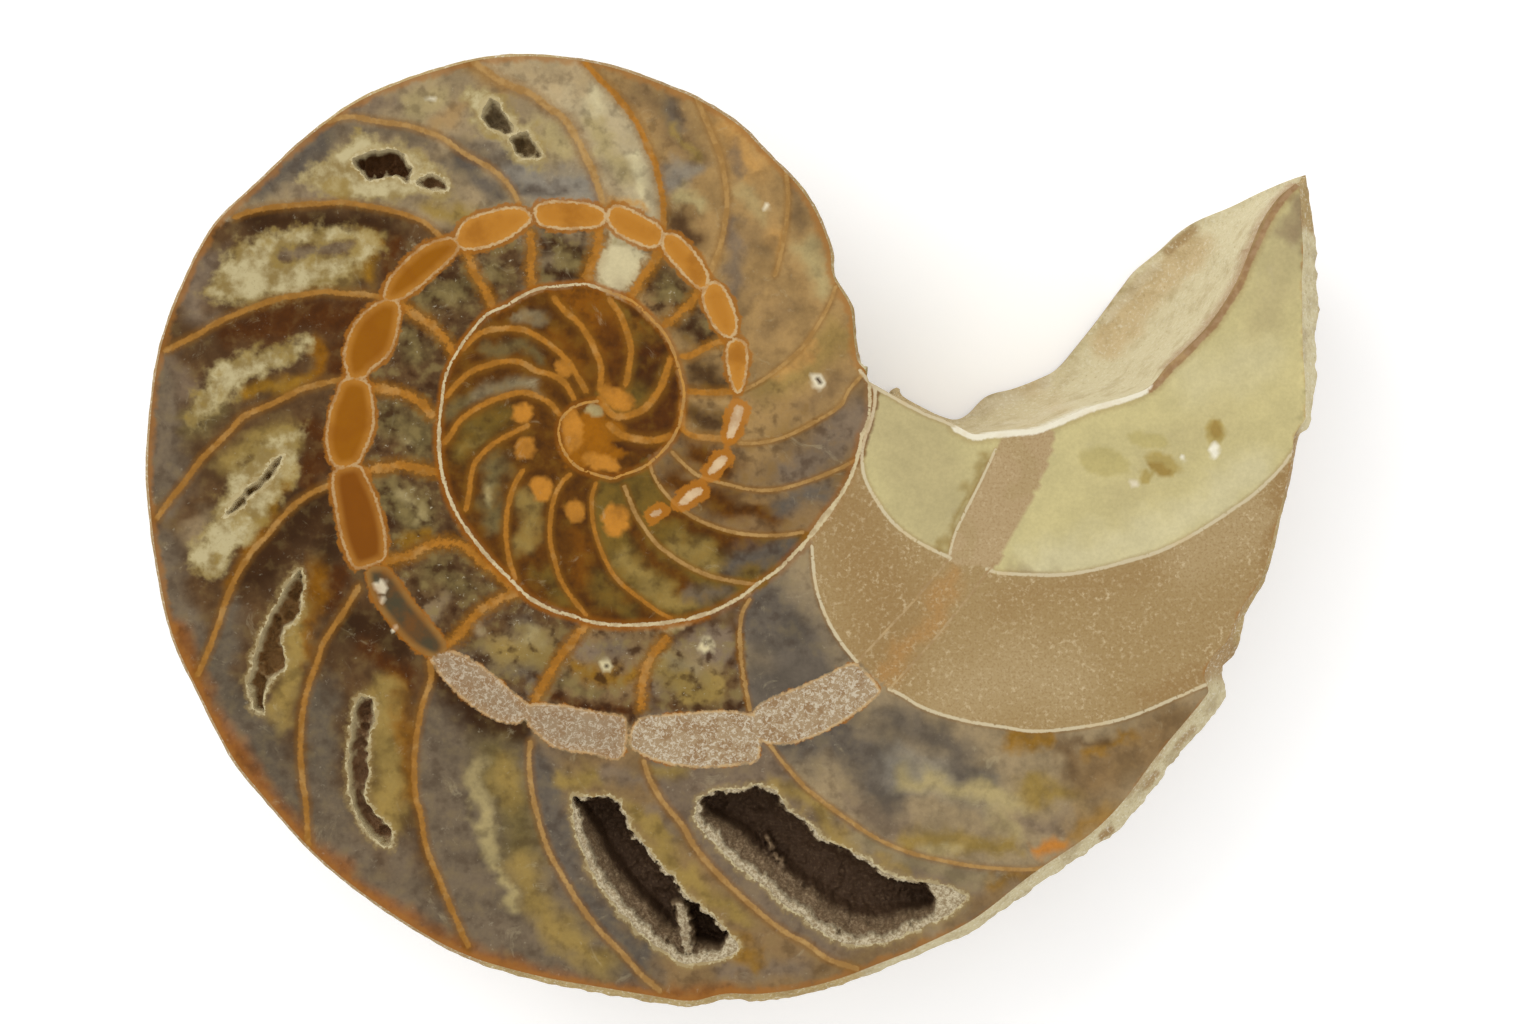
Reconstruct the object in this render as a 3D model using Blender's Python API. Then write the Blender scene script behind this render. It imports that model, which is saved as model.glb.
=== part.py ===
"""Half of a fossil nautilus: a chambered shell turned to stone, sawn down its middle plane and polished.

The stone lies on the worn flat of its back, with the polished face up and level.
X runs the long way, towards the open end of the coil. Z is up, and the origin is
on the ground under the middle of the stone. Two of the old chambers are open hollows
at the saw cut, and each is lined with a crust of small crystals.
"""

import bpy
import numpy as np
from mathutils import Vector
from mathutils.geometry import delaunay_2d_cdt

MM = 0.001

# Driving sizes of the stone
LENGTH = 100.0 * MM
THICKNESS = 22.0 * MM
WIDTH_RATIO = 0.46
SHOULDER = 0.28
EDGE_BAND = 1.2 * MM
BOWL_WALL = 1.2 * MM
RIM_SLOPE = 1.5
CORNER_WIDTH = 0.25 * MM
NAVEL_RADIUS = 4.8 * MM
NAVEL_DEPTH = 7.0 * MM
STEP_WIDTH = 2.0 * MM
PAST_TIP_ANGLE = 30  # degrees around the coil; the tip ends before it
LEAST_WALL = 2.0 * MM

# Hollows and their crusts
HOLLOW_DEPTH = 6.5 * MM
HOLLOW_SIDE = ((0.5 * MM, 0.55), (1.1 * MM, 0.9))  # inset from the mouth, share of the depth
CRUST_GAP = 0.35 * MM
CRUST_RIM = 0.6 * MM
CRUST_EDGE = 0.3 * MM
RIM_BELOW_FACE = 0.05 * MM
CRUST_INSIDE = ((0, 0.05), (0.45 * MM, 0.42), (1.0 * MM, 0.66), (1.6 * MM, 0.74))
CRYSTAL_SPACING = 0.62 * MM
CRYSTAL_HEIGHT = 0.38 * MM

# Spacing of the points that carry the surfaces
EDGE_SPACING = 2.4 * MM
BOWL_SPACING = 1.5 * MM
BACK_SPACING = 3.0 * MM
HOLLOW_SPACING = 1.1 * MM
PIT_SPACING = 0.9 * MM
PIT_SIDE = 0.3 * MM
BACK_ROWS = (0.35 * MM, 1.1 * MM, 2.4 * MM, 4.4 * MM)
NAVEL_RINGS = (0.12, 0.3, 0.5, 0.7, 0.9, 1.1)
STEP_ROWS = (-0.1, 0.25, 0.5, 0.75, 1.1)
BOWL_ROWS = ((0.1, 1.3 * MM), (0.28, 0.7 * MM), (0.52, 0.7 * MM), (0.78, 1.3 * MM))

# Places on the photograph, in its own pixels, counted from its top left corner.
# The edge runs from the inner end of the coil, over the top and the left, to the tip.
COIL_CENTRE_PX = (605, 430)
OUTER_EDGE_PX = [
    (868, 366), (861, 362), (857, 337), (853, 305), (836, 275), (833, 248), (820, 214),
    (800, 183), (763, 145), (740, 122), (700, 97), (660, 80), (620, 66), (580, 57),
    (530, 52.5), (480, 56), (440, 66), (400, 79), (350, 102), (300, 139), (260, 177),
    (220, 214), (200, 243), (180, 284), (160, 337), (150, 390), (144.5, 460), (147, 510),
    (155, 570), (170, 637), (200, 702), (230, 759), (260, 797), (310, 853), (360, 895),
    (420, 935), (460, 957), (500, 972), (560, 988), (640, 1002), (690, 1009), (725, 1002),
    (760, 1002), (800, 997), (840, 987), (885, 970), (920, 956), (980, 929), (1040, 887),
    (1100, 849), (1140, 812), (1180, 761), (1222, 710), (1230, 690), (1225, 671),
    (1240, 649), (1250, 610), (1268, 575), (1280, 528), (1291, 481), (1300, 438),
    (1312, 425), (1319, 384), (1321, 325), (1322, 262), (1317, 222), (1313, 190), (1310, 172),
]
# The rim of the last chamber wall, seen from above, from the coil to the tip
BOWL_RIM_PX = [
    (868, 366), (872, 377), (894, 387), (900, 381), (908, 379), (912, 388), (937, 402),
    (952, 409), (968, 413), (982, 407), (1002, 388), (1030, 380), (1056, 370), (1078, 358),
    (1102, 330), (1124, 302), (1146, 272), (1160, 254), (1184, 234), (1203, 216),
    (1221, 205), (1250, 194), (1279, 181), (1310, 172),
]
# The same wall where the saw cut it, on the polished face
BOWL_CUT_PX = [
    (869, 381), (890, 393), (908, 403), (926, 412), (944, 419), (958, 426), (975, 434),
    (998, 431), (1034, 428), (1052, 422), (1088, 407), (1124, 397), (1146, 389),
    (1156, 380), (1167, 366), (1182, 352), (1210, 323), (1236, 283), (1254, 240),
    (1264, 218), (1279, 197), (1296, 183),
]
# Width of the unpolished rim outside the face, in pixels, by angle around the coil
RIM_ANGLES = (14, 250, 268, 300, 318, 328, 338, 346, 358, 361, 366, 372, 378, 381)
RIM_WIDTHS_PX = (3, 3, 8, 8, 17, 21, 21, 5, 3, 9, 17, 20, 13, 12)

# Each big hollow: its mouth on the face, and the line along its deepest part
LARGE_MOUTH_PX = [
    (697, 801), (718, 791), (745, 789), (763, 785), (778, 794), (790, 811), (803, 817),
    (822, 836), (848, 850), (866, 860), (884, 872), (906, 880), (930, 884), (950, 889),
    (966, 897), (952, 912), (928, 925), (906, 934), (880, 944), (854, 945), (830, 937),
    (810, 923), (790, 909), (770, 893), (750, 876), (730, 859), (708, 838), (697, 820),
]
LARGE_FLOOR_PX = [(722, 815), (752, 822), (790, 858), (832, 893), (870, 910), (905, 907), (934, 900)]
SMALL_MOUTH_PX = [
    (572, 798), (590, 797), (612, 798), (624, 812), (632, 832), (646, 846), (658, 862),
    (673, 876), (684, 894), (700, 905), (714, 919), (731, 935), (738, 949), (724, 959),
    (702, 963), (682, 963), (664, 950), (644, 936), (624, 917), (608, 897), (594, 876),
    (582, 850), (575, 825),
]
SMALL_FLOOR_PX = [(596, 822), (610, 850), (634, 880), (660, 910), (688, 935), (712, 946)]

# Each small pit: its mouth on the face, the line along its bottom, and its depth in mm
PITS = {
    "top left pit": (
        [(352, 159), (365, 152), (382, 149), (399, 150), (407, 161), (413, 172), (407, 183),
         (396, 176), (383, 177), (369, 180), (357, 170)],
        [(370, 163), (390, 163), (402, 172)], 2.2),
    "pit beside it": (
        [(417, 183), (431, 173), (443, 178), (447, 188), (434, 190)],
        [(430, 182), (438, 183)], 1.2),
    "upper top pit": (
        [(488, 98), (496, 100), (503, 109), (511, 122), (513, 131), (498, 131), (487, 125), (480, 112)],
        [(490, 110), (500, 122)], 2.0),
    "lower top pit": (
        [(509, 138), (516, 133), (528, 130), (534, 141), (541, 154), (532, 159), (519, 156)],
        [(519, 142), (530, 150)], 2.0),
    "left crack": (
        [(282, 455), (278, 468), (266, 482), (253, 495), (239, 509), (224, 517), (233, 502),
         (247, 488), (260, 475), (271, 463)],
        [(274, 464), (263, 478), (250, 491), (236, 505)], 1.6),
    "lower left hollow": (
        [(301, 570), (303, 590), (296, 617), (284, 629), (281, 642), (285, 668), (270, 680),
         (263, 694), (264, 713), (254, 708), (248, 686), (251, 666), (256, 650), (262, 631),
         (270, 614), (281, 596), (290, 580)],
        [(293, 594), (282, 616), (270, 638), (267, 660), (257, 690)], 2.4),
    "lower hollow": (
        [(358, 697), (371, 700), (375, 717), (369, 736), (367, 760), (368, 776), (364, 794),
         (368, 806), (380, 820), (392, 836), (384, 846), (364, 828), (353, 806), (350, 796),
         (348, 768), (350, 741), (353, 720)],
        [(362, 712), (360, 740), (358, 768), (357, 795), (368, 815), (380, 832)], 2.4),
}


def curve_points(points, spacing, closed=False):
    """Points at an even spacing along a smooth curve through the given ones; a loop runs anticlockwise."""
    given = np.asarray(points, float)
    if closed:
        following = np.roll(given, -1, axis=0)
        if (given[:, 0] * following[:, 1] - following[:, 0] * given[:, 1]).sum() < 0:
            given = given[::-1]
        run = np.vstack([given[-1:], given, given[:2]])
    else:
        run = np.vstack([2 * given[0] - given[1], given, 2 * given[-1] - given[-2]])
    t = np.linspace(0, 1, 12, endpoint=False)[:, None]
    spans = []
    for a, b, c, d in zip(run, run[1:], run[2:], run[3:]):
        bend = 2 * b + (c - a) * t + (2 * a - 5 * b + 4 * c - d) * t**2
        spans.append(0.5 * (bend + (3 * b - a - 3 * c + d) * t**3))
    dense = np.vstack(spans + [run[-2:-1]])
    length = np.concatenate([[0], np.cumsum(np.hypot(*np.diff(dense, axis=0).T))])
    count = max(4, round(length[-1] / spacing))
    at = np.linspace(0, length[-1], count + 1)
    even = np.column_stack([np.interp(at, length, dense[:, k]) for k in (0, 1)])
    return even[:-1] if closed else even


def nearest_on(points, line, closed=False):
    """The nearest place on a line of straight pieces, for each point."""
    points = np.atleast_2d(points)
    start = np.asarray(line, float)
    end = np.roll(start, -1, axis=0)
    if not closed:
        start, end = start[:-1], end[:-1]
    along = end - start
    offset = points[:, None] - start[None]
    share = np.clip((offset * along).sum(2) / (along**2).sum(1), 0, 1)
    places = start[None] + share[..., None] * along[None]
    apart = np.hypot(*(points[:, None] - places).transpose(2, 0, 1))
    best = apart.argmin(1)
    rows = np.arange(len(points))
    return places[rows, best], apart[rows, best]


def inside(points, loop):
    """True for each point that lies within a closed loop."""
    x, y = points[:, 0:1], points[:, 1:2]
    x0, y0 = loop[:, 0], loop[:, 1]
    x1, y1 = np.roll(x0, -1), np.roll(y0, -1)
    spans = (y0 > y) != (y1 > y)
    rise = np.where(y1 == y0, 1, y1 - y0)
    return ((spans & (x < x0 + (y - y0) * (x1 - x0) / rise)).sum(1) % 2) == 1


def grid_inside(loop, spacing, margin, jitter=0.0, seed=1):
    """Staggered rows of points inside a loop, kept a margin away from it."""
    low, high = loop.min(0), loop.max(0)
    rows = np.arange(low[1], high[1], spacing * 0.866)
    points = []
    for number, y in enumerate(rows):
        shift = spacing / 2 * (number % 2)
        for x in np.arange(low[0] + shift, high[0], spacing):
            points.append((x, y))
    points = np.array(points) + np.random.default_rng(seed).uniform(-jitter, jitter, (len(points), 2))
    points = points[inside(points, loop)]
    return points[nearest_on(points, loop, closed=True)[1] > margin]


def moved_in(loop, floor_line, inset):
    """A loop drawn in by an inset, towards the line along its deepest part."""
    target, apart = nearest_on(loop, floor_line)
    share = np.minimum(inset / apart, 0.85)
    return loop + (target - loop) * share[:, None]


def with_heights(plan, heights):
    """Plan points with a height each."""
    return np.column_stack([plan, np.broadcast_to(heights, len(plan))])


def triangles(points, loops):
    """Triangles over plan points that keep every loop's edges."""
    edges = []
    for first, count in loops:
        edges += [(first + i, first + (i + 1) % count) for i in range(count)]
    plan = [Vector((float(p[0]), float(p[1]))) for p in points]
    _, _, faces, source, _, _ = delaunay_2d_cdt(plan, edges, [], 1, 1e-8)
    assert all(source), "two loops cross"
    result = []
    for face in faces:
        a, b, c = (source[v][0] for v in face)
        pa, pb, pc = points[a], points[b], points[c]
        turn = (pb[0] - pa[0]) * (pc[1] - pa[1]) - (pb[1] - pa[1]) * (pc[0] - pa[0])
        result.append((a, b, c) if turn > 0 else (a, c, b))
    return result


def make_solid(name, border, border_top, border_bottom, top, bottom, material):
    """A closed body between a top sheet and a bottom sheet that share a border.

    top and bottom are lists of point groups, each with True where the group is a loop to keep.
    """
    count = len(border)
    vertices, faces = [], []
    for heights, groups, upward in ((border_top, top, True), (border_bottom, bottom, False)):
        first_vertex = len(vertices)
        sheet = [with_heights(border, heights)]
        loops = [(0, count)]
        size = count
        for points, is_loop in groups:
            if is_loop:
                loops.append((size, len(points)))
            sheet.append(points)
            size += len(points)
        sheet = np.vstack(sheet)
        for a, b, c in triangles(sheet, loops):
            corner = (a, b, c) if upward else (a, c, b)
            faces.append(tuple(first_vertex + i for i in corner))
        vertices += [tuple(p) for p in sheet]
        if upward:
            bottom_first = len(vertices)
    for i in range(count):
        j = (i + 1) % count
        faces.append((bottom_first + i, bottom_first + j, j))
        faces.append((bottom_first + i, j, i))
    mesh = bpy.data.meshes.new(name)
    mesh.from_pydata(vertices, [], faces)
    mesh.materials.append(material)
    mesh.validate()
    body = bpy.data.objects.new(name, mesh)
    bpy.context.scene.collection.objects.link(body)
    return body


def make_material(name, colour, roughness):
    """A plain stone finish."""
    material = bpy.data.materials.new(name)
    material.use_nodes = True
    shader = material.node_tree.nodes["Principled BSDF"]
    shader.inputs["Base Color"].default_value = (*colour, 1)
    shader.inputs["Roughness"].default_value = roughness
    shader.inputs["Metallic"].default_value = 0.0
    return material


def clear_scene():
    for thing in list(bpy.data.objects):
        bpy.data.objects.remove(thing, do_unlink=True)


def find_scale():
    """Size of a photo pixel on the stone, and the pixel that lies over the origin."""
    edge = curve_points(OUTER_EDGE_PX, 2)
    low, high = edge.min(0), edge.max(0)
    return LENGTH / (high[0] - low[0]), (low + high) / 2


PIXEL, MIDDLE_PX = find_scale()


def from_photo(points):
    """Photo pixels to metres on the plan."""
    points = np.atleast_2d(np.asarray(points, float))
    return (points - MIDDLE_PX) * (PIXEL, -PIXEL)


COIL_CENTRE = from_photo(COIL_CENTRE_PX)[0]


def around_coil(points):
    """Radius and angle in degrees of plan points around the coil's centre."""
    offset = np.atleast_2d(points)[:, :2] - COIL_CENTRE
    return np.hypot(*offset.T), np.degrees(np.arctan2(offset[:, 1], offset[:, 0])) % 360


def coil_edge():
    """The outer edge as plan points, with each one's angle, counted on past a full turn."""
    edge = curve_points(from_photo(OUTER_EDGE_PX), EDGE_SPACING)
    radius, angle = around_coil(edge)
    turned = np.degrees(np.unwrap(np.radians(angle)))
    return edge, radius, turned


EDGE, EDGE_RADIUS, EDGE_ANGLE = coil_edge()
COIL_END_ANGLE = EDGE_ANGLE[0]


def whorl_depth(radius, angle):
    """Depth of the flank under the face, at a radius and an angle counted along the coil."""
    order = np.argsort(EDGE_ANGLE)
    edge_radius = np.interp(angle, EDGE_ANGLE[order], EDGE_RADIUS[order])
    fall = np.clip((radius / edge_radius - SHOULDER) / (1 - SHOULDER), 0, 1)
    return WIDTH_RATIO * edge_radius * np.sqrt(1 - fall**2)


def smooth(share):
    """A share from 0 to 1 that starts and ends gently."""
    share = np.clip(share, 0, 1)
    return share * share * (3 - 2 * share)


def back_depth(points, last_turn_only=False):
    """Depth of the back under the face: the last turn, the turn inside it, the navel and the worn flat.

    The last turn ends in a step along the line from the navel to the inner end of the coil.
    """
    radius, angle = around_coil(points)
    last = whorl_depth(radius, np.where(angle < 90, angle + 360, angle))
    first = whorl_depth(radius, angle)
    past_step = radius * np.sin(np.radians(angle - COIL_END_ANGLE)) / STEP_WIDTH
    within_coil = (radius < 1.25 * EDGE_RADIUS[0]) | (angle > PAST_TIP_ANGLE)
    on_first = (angle > COIL_END_ANGLE) & (angle < 90) & within_coil
    share = np.where(on_first & (not last_turn_only), smooth(past_step), 0)
    whole = last * (1 - share) + first * share
    whole = NAVEL_DEPTH + (whole - NAVEL_DEPTH) * smooth(radius / NAVEL_RADIUS)
    return np.clip(whole, EDGE_BAND, THICKNESS)


def face_edge():
    """The edge of the polished face: inside the outer edge by the rim, and along the last chamber wall."""
    tangent = np.gradient(EDGE, axis=0)
    inward = np.column_stack([-tangent[:, 1], tangent[:, 0]]) / np.hypot(*tangent.T)[:, None]
    rim = np.interp(EDGE_ANGLE, RIM_ANGLES, RIM_WIDTHS_PX) * PIXEL
    outer = (EDGE + inward * rim[:, None])[1:-1]
    cut = curve_points(from_photo(BOWL_CUT_PX), BOWL_SPACING)
    return outer, cut


def bowl_rows(rim, cut, rim_heights):
    """Rows of points on the hollow side of the last chamber wall, steep under the face and flat at its rim."""
    share_rim = np.linspace(0, 1, len(rim))
    share_cut = np.linspace(0, 1, len(cut))
    matched = np.column_stack([np.interp(share_rim, share_cut, cut[:, k]) for k in (0, 1)])
    width = np.hypot(*(rim - matched).T)
    groups = []
    for share, least_width in BOWL_ROWS:
        row = matched + (rim - matched) * share
        drop = (THICKNESS - rim_heights) * np.sqrt(1 - (1 - share) ** 2)
        heights = np.maximum(THICKNESS - drop, THICKNESS - back_depth(row, True) + BOWL_WALL)
        groups.append(with_heights(row, heights)[width > least_width][1:-1])
    return groups


def hollow_groups(mouth_px, floor_px):
    """Mouth, wall and floor of a hollow in the face, in point groups."""
    mouth = curve_points(from_photo(mouth_px), HOLLOW_SPACING, closed=True)
    floor = curve_points(from_photo(floor_px), HOLLOW_SPACING)
    groups = [(with_heights(mouth, THICKNESS), True)]
    for inset, share in HOLLOW_SIDE:
        points = moved_in(mouth, floor, inset)
        deep = np.minimum(HOLLOW_DEPTH * share, back_depth(points) - LEAST_WALL)
        groups.append((with_heights(points, THICKNESS - deep), True))
    deep = np.minimum(HOLLOW_DEPTH, back_depth(floor) - LEAST_WALL)
    groups.append((with_heights(floor, THICKNESS - deep), False))
    return groups


def pit_groups(mouth_px, floor_px, depth):
    """Mouth and floor of a small pit in the face."""
    mouth = curve_points(from_photo(mouth_px), PIT_SPACING, closed=True)
    floor = curve_points(from_photo(floor_px), PIT_SPACING)
    side = moved_in(mouth, floor, PIT_SIDE)
    return [
        (with_heights(mouth, THICKNESS), True),
        (with_heights(side, THICKNESS - depth * 0.6), True),
        (with_heights(floor, THICKNESS - depth), False),
    ]


def make_half(material):
    """The whole stone: face, rim, last chamber wall, hollows, pits and back."""
    outer, cut = face_edge()
    bowl_rim = curve_points(from_photo(BOWL_RIM_PX), BOWL_SPACING)[1:-1]
    rim_bottom = THICKNESS - back_depth(bowl_rim, True)
    rim_top = rim_bottom + BOWL_WALL
    rim_top[0] = THICKNESS - RIM_SLOPE * CORNER_WIDTH
    face_loop = np.vstack([outer, cut[::-1]])
    border = np.vstack([EDGE, bowl_rim[::-1]])
    _, rim_width = nearest_on(EDGE, face_loop, closed=True)
    edge_top = THICKNESS - rim_width * RIM_SLOPE
    border_top = np.concatenate([edge_top, rim_top[::-1]])
    border_bottom = np.concatenate([edge_top - EDGE_BAND, rim_bottom[::-1]])

    top = [(with_heights(face_loop, THICKNESS), True)]
    top += [(row, False) for row in bowl_rows(bowl_rim, cut, rim_top)]
    top += hollow_groups(LARGE_MOUTH_PX, LARGE_FLOOR_PX)
    top += hollow_groups(SMALL_MOUTH_PX, SMALL_FLOOR_PX)
    for mouth_px, floor_px, depth in PITS.values():
        top += pit_groups(mouth_px, floor_px, depth * MM)

    bottom = back_points(border, border_top)
    return make_solid("fossil_half", border, border_top, border_bottom, top, bottom, material)


def distance_between(points, others):
    """Distance from each point to the nearest of the others, and which one that is."""
    apart = np.hypot(*(points[:, None] - others[None]).transpose(2, 0, 1))
    return apart.min(1), apart.argmin(1)


def step_points():
    """Rows of points along the step where the last turn ends, and rings around the navel."""
    reach = np.linspace(NAVEL_RADIUS * 1.25, EDGE_RADIUS[0] - EDGE_BAND, 9)
    line = np.radians(COIL_END_ANGLE)
    along = np.array([np.cos(line), np.sin(line)])
    across = np.array([-np.sin(line), np.cos(line)])
    rows = []
    for offset in STEP_ROWS:
        rows.append(COIL_CENTRE + across * offset * STEP_WIDTH + reach[:, None] * along)
    turns = np.radians(np.arange(0, 360, 24))
    for share in NAVEL_RINGS:
        ring = np.column_stack([np.cos(turns), np.sin(turns)])
        rows.append(COIL_CENTRE + ring * NAVEL_RADIUS * share)
    return np.vstack(rows)


def back_points(border, border_top):
    """Points of the back: rows inside the border, the step at the end of the coil, the navel and a grid."""
    tangent = np.roll(border, -1, axis=0) - np.roll(border, 1, axis=0)
    inward = np.column_stack([-tangent[:, 1], tangent[:, 0]]) / np.hypot(*tangent.T)[:, None]
    rows = []
    for inset in BACK_ROWS:
        row = border + inward * inset
        clear = nearest_on(row, border, closed=True)[1] > inset * 0.85
        rows.append(row[clear & inside(row, border)])
    rows = np.vstack(rows)
    step = step_points()
    step = step[nearest_on(step, border, closed=True)[1] > EDGE_BAND / 2]
    rows = rows[distance_between(rows, step)[0] > BACK_SPACING * 0.3]
    grid = grid_inside(border, BACK_SPACING, max(BACK_ROWS) * 1.4)
    grid = grid[distance_between(grid, step)[0] > BACK_SPACING * 0.6]
    plan = np.vstack([rows, step, grid])
    _, to_border = nearest_on(plan, border, closed=True)
    _, nearest = distance_between(plan, border)
    heights = THICKNESS - back_depth(plan)
    under_edge = border_top[nearest] - EDGE_BAND
    at_edge = (to_border < BACK_ROWS[2] * 0.9) & (nearest < len(EDGE))
    heights = np.where(at_edge, np.minimum(heights, under_edge), heights)
    return [(with_heights(plan, heights), False)]


def make_crust(name, mouth_px, floor_px, seed, material):
    """The crystal lining of a hollow: a thin bowl with a flush rim and rough crystals inside."""
    random = np.random.default_rng(seed)
    mouth = curve_points(from_photo(mouth_px), HOLLOW_SPACING, closed=True)
    floor = curve_points(from_photo(floor_px), HOLLOW_SPACING)
    border = moved_in(mouth, floor, CRUST_GAP)
    border_top = THICKNESS - RIM_BELOW_FACE
    bottom = []
    for inset, share in HOLLOW_SIDE:
        outside = moved_in(mouth, floor, inset)
        points = moved_in(mouth, floor, inset + CRUST_GAP)
        deep = np.minimum(HOLLOW_DEPTH * share, back_depth(outside) - LEAST_WALL)
        bottom.append((with_heights(points, THICKNESS - deep + CRUST_GAP), True))
    deep = np.minimum(HOLLOW_DEPTH, back_depth(floor) - LEAST_WALL)
    bottom.append((with_heights(floor, THICKNESS - deep + CRUST_GAP), False))

    rim = moved_in(mouth, floor, CRUST_GAP + CRUST_RIM)
    rim_heights = border_top - random.uniform(0, CRYSTAL_HEIGHT / 2, len(rim))
    crystals = grid_inside(rim, CRYSTAL_SPACING, CRYSTAL_SPACING / 2, CRYSTAL_SPACING / 5, seed)
    _, from_mouth = nearest_on(crystals, mouth, closed=True)
    inset, share = np.transpose(CRUST_INSIDE)
    deep = np.minimum(HOLLOW_DEPTH, back_depth(crystals) - LEAST_WALL)
    deep = deep * np.interp(from_mouth - CRUST_GAP - CRUST_RIM, inset, share)
    heights = THICKNESS - deep + random.uniform(-1, 1, len(crystals)) * CRYSTAL_HEIGHT
    top = [(with_heights(rim, rim_heights), True), (with_heights(crystals, heights), False)]
    return make_solid(name, border, border_top, border_top - CRUST_EDGE, top, bottom, material)


clear_scene()
stone = make_material("fossil stone", (0.30, 0.20, 0.09), 0.2)
crystal = make_material("pale crystal", (0.74, 0.66, 0.5), 0.4)
half = make_half(stone)
half.data.shade_smooth()
half.data.set_sharp_from_angle(angle=0.6)
make_crust("crystal_crust_large", LARGE_MOUTH_PX, LARGE_FLOOR_PX, 11, crystal)
make_crust("crystal_crust_small", SMALL_MOUTH_PX, SMALL_FLOOR_PX, 12, crystal)
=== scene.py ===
"""Half of a fossil nautilus, sawn and polished, lying face up on a white light table."""

import bpy
import numpy as np
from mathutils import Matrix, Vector
from mathutils.geometry import delaunay_2d_cdt


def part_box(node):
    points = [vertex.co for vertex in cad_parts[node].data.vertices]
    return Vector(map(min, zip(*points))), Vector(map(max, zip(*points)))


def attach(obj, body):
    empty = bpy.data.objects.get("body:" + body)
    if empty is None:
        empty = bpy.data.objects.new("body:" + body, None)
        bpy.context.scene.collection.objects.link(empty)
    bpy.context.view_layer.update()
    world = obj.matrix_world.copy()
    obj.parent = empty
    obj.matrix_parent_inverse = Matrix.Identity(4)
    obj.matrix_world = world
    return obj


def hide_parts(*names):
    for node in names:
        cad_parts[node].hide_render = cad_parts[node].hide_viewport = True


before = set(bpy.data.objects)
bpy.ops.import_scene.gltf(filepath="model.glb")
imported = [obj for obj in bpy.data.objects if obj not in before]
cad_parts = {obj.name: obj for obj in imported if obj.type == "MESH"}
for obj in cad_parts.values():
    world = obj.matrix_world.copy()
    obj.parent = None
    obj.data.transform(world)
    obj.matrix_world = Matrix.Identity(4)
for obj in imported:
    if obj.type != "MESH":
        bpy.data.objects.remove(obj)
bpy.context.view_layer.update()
MM = 0.001

# The table, the light and the camera.
# A white acrylic sheet glows faintly under the stone, in a white tent with one soft lamp at the upper left.
# The camera looks straight down at the polished face.


def node(tree, kind, inputs, **settings):
    """A shader node whose inputs are given as values or as other nodes' outputs."""
    made = tree.nodes.new("ShaderNode" + kind)
    for name, value in settings.items():
        setattr(made, name, value)
    for name, value in inputs.items():
        if isinstance(value, bpy.types.NodeSocket):
            tree.links.new(value, made.inputs[name])
        else:
            made.inputs[name].default_value = value
    return made


def new_finish(name):
    """An empty material and its node tree, with the place on the stone in metres."""
    material = bpy.data.materials.new(name)
    material.use_nodes = True
    tree = material.node_tree
    tree.nodes.clear()
    place = node(tree, "TexCoord", {}).outputs["Object"]
    return material, tree, place


def grain(tree, place, size_mm, detail=3.0, roughness=0.55, stretch=0.0):
    """Natural noise from 0 to 1 with blobs of about the given size."""
    inputs = {"Vector": place, "Scale": 1000 / size_mm, "Detail": detail, "Roughness": roughness,
              "Distortion": stretch}
    return node(tree, "TexNoise", inputs).outputs["Fac"]


def fade(tree, value, start, end, low=0.0, high=1.0):
    """Goes gently from low to high while the value goes from start to end."""
    inputs = {"Value": value, "From Min": start, "From Max": end, "To Min": low, "To Max": high}
    return node(tree, "MapRange", inputs, interpolation_type="SMOOTHSTEP").outputs["Result"]


def grey(tree, level):
    """A grey as light as the given value."""
    return node(tree, "CombineColor", {"Red": level, "Green": level, "Blue": level}).outputs["Color"]


def cover(tree, inputs):
    """Ends a material with one surface."""
    shader = node(tree, "BsdfPrincipled", inputs)
    node(tree, "OutputMaterial", {"Surface": shader.outputs["BSDF"]})


TABLE_SIZE = 3.0
TABLE_TOP = -0.0003
TENT_LIGHT = 1.0
LAMP_SIZE = 0.35
LAMP_POWER = 0.9
LAMP_PLACE = (-0.28, 0.26, 0.42)
# The camera is above the middle of the photo, which lies a little off the middle of the stone
CAMERA_PLACE = (0.00295, 0.00161, 0.3301)
CAMERA_LENS = 85
CAMERA_SENSOR = 36

bpy.ops.mesh.primitive_plane_add(size=TABLE_SIZE, location=(0, 0, TABLE_TOP))
table = bpy.context.active_object
table.name = "light_table"
material, tree, place = new_finish("white acrylic")
faint = fade(tree, grain(tree, place, 40), 0.3, 0.7, 0.86, 0.9)
cover(tree, {
    "Base Color": grey(tree, faint), "Roughness": 0.5,
    "Emission Color": (1, 1, 0.99, 1), "Emission Strength": 0.22,
})
table.data.materials.append(material)

world = bpy.data.worlds.new("white tent")
world.use_nodes = True
tent = world.node_tree.nodes["Background"].inputs
tent["Color"].default_value = (1, 1, 1, 1)
tent["Strength"].default_value = TENT_LIGHT
bpy.context.scene.world = world

lamp = bpy.data.objects.new("soft lamp", bpy.data.lights.new("soft lamp", "AREA"))
lamp.data.size = LAMP_SIZE
lamp.data.energy = LAMP_POWER
lamp.location = LAMP_PLACE
lamp.rotation_euler = (Vector((0, 0, 0.01)) - lamp.location).to_track_quat("-Z", "Y").to_euler()
bpy.context.scene.collection.objects.link(lamp)

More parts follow.
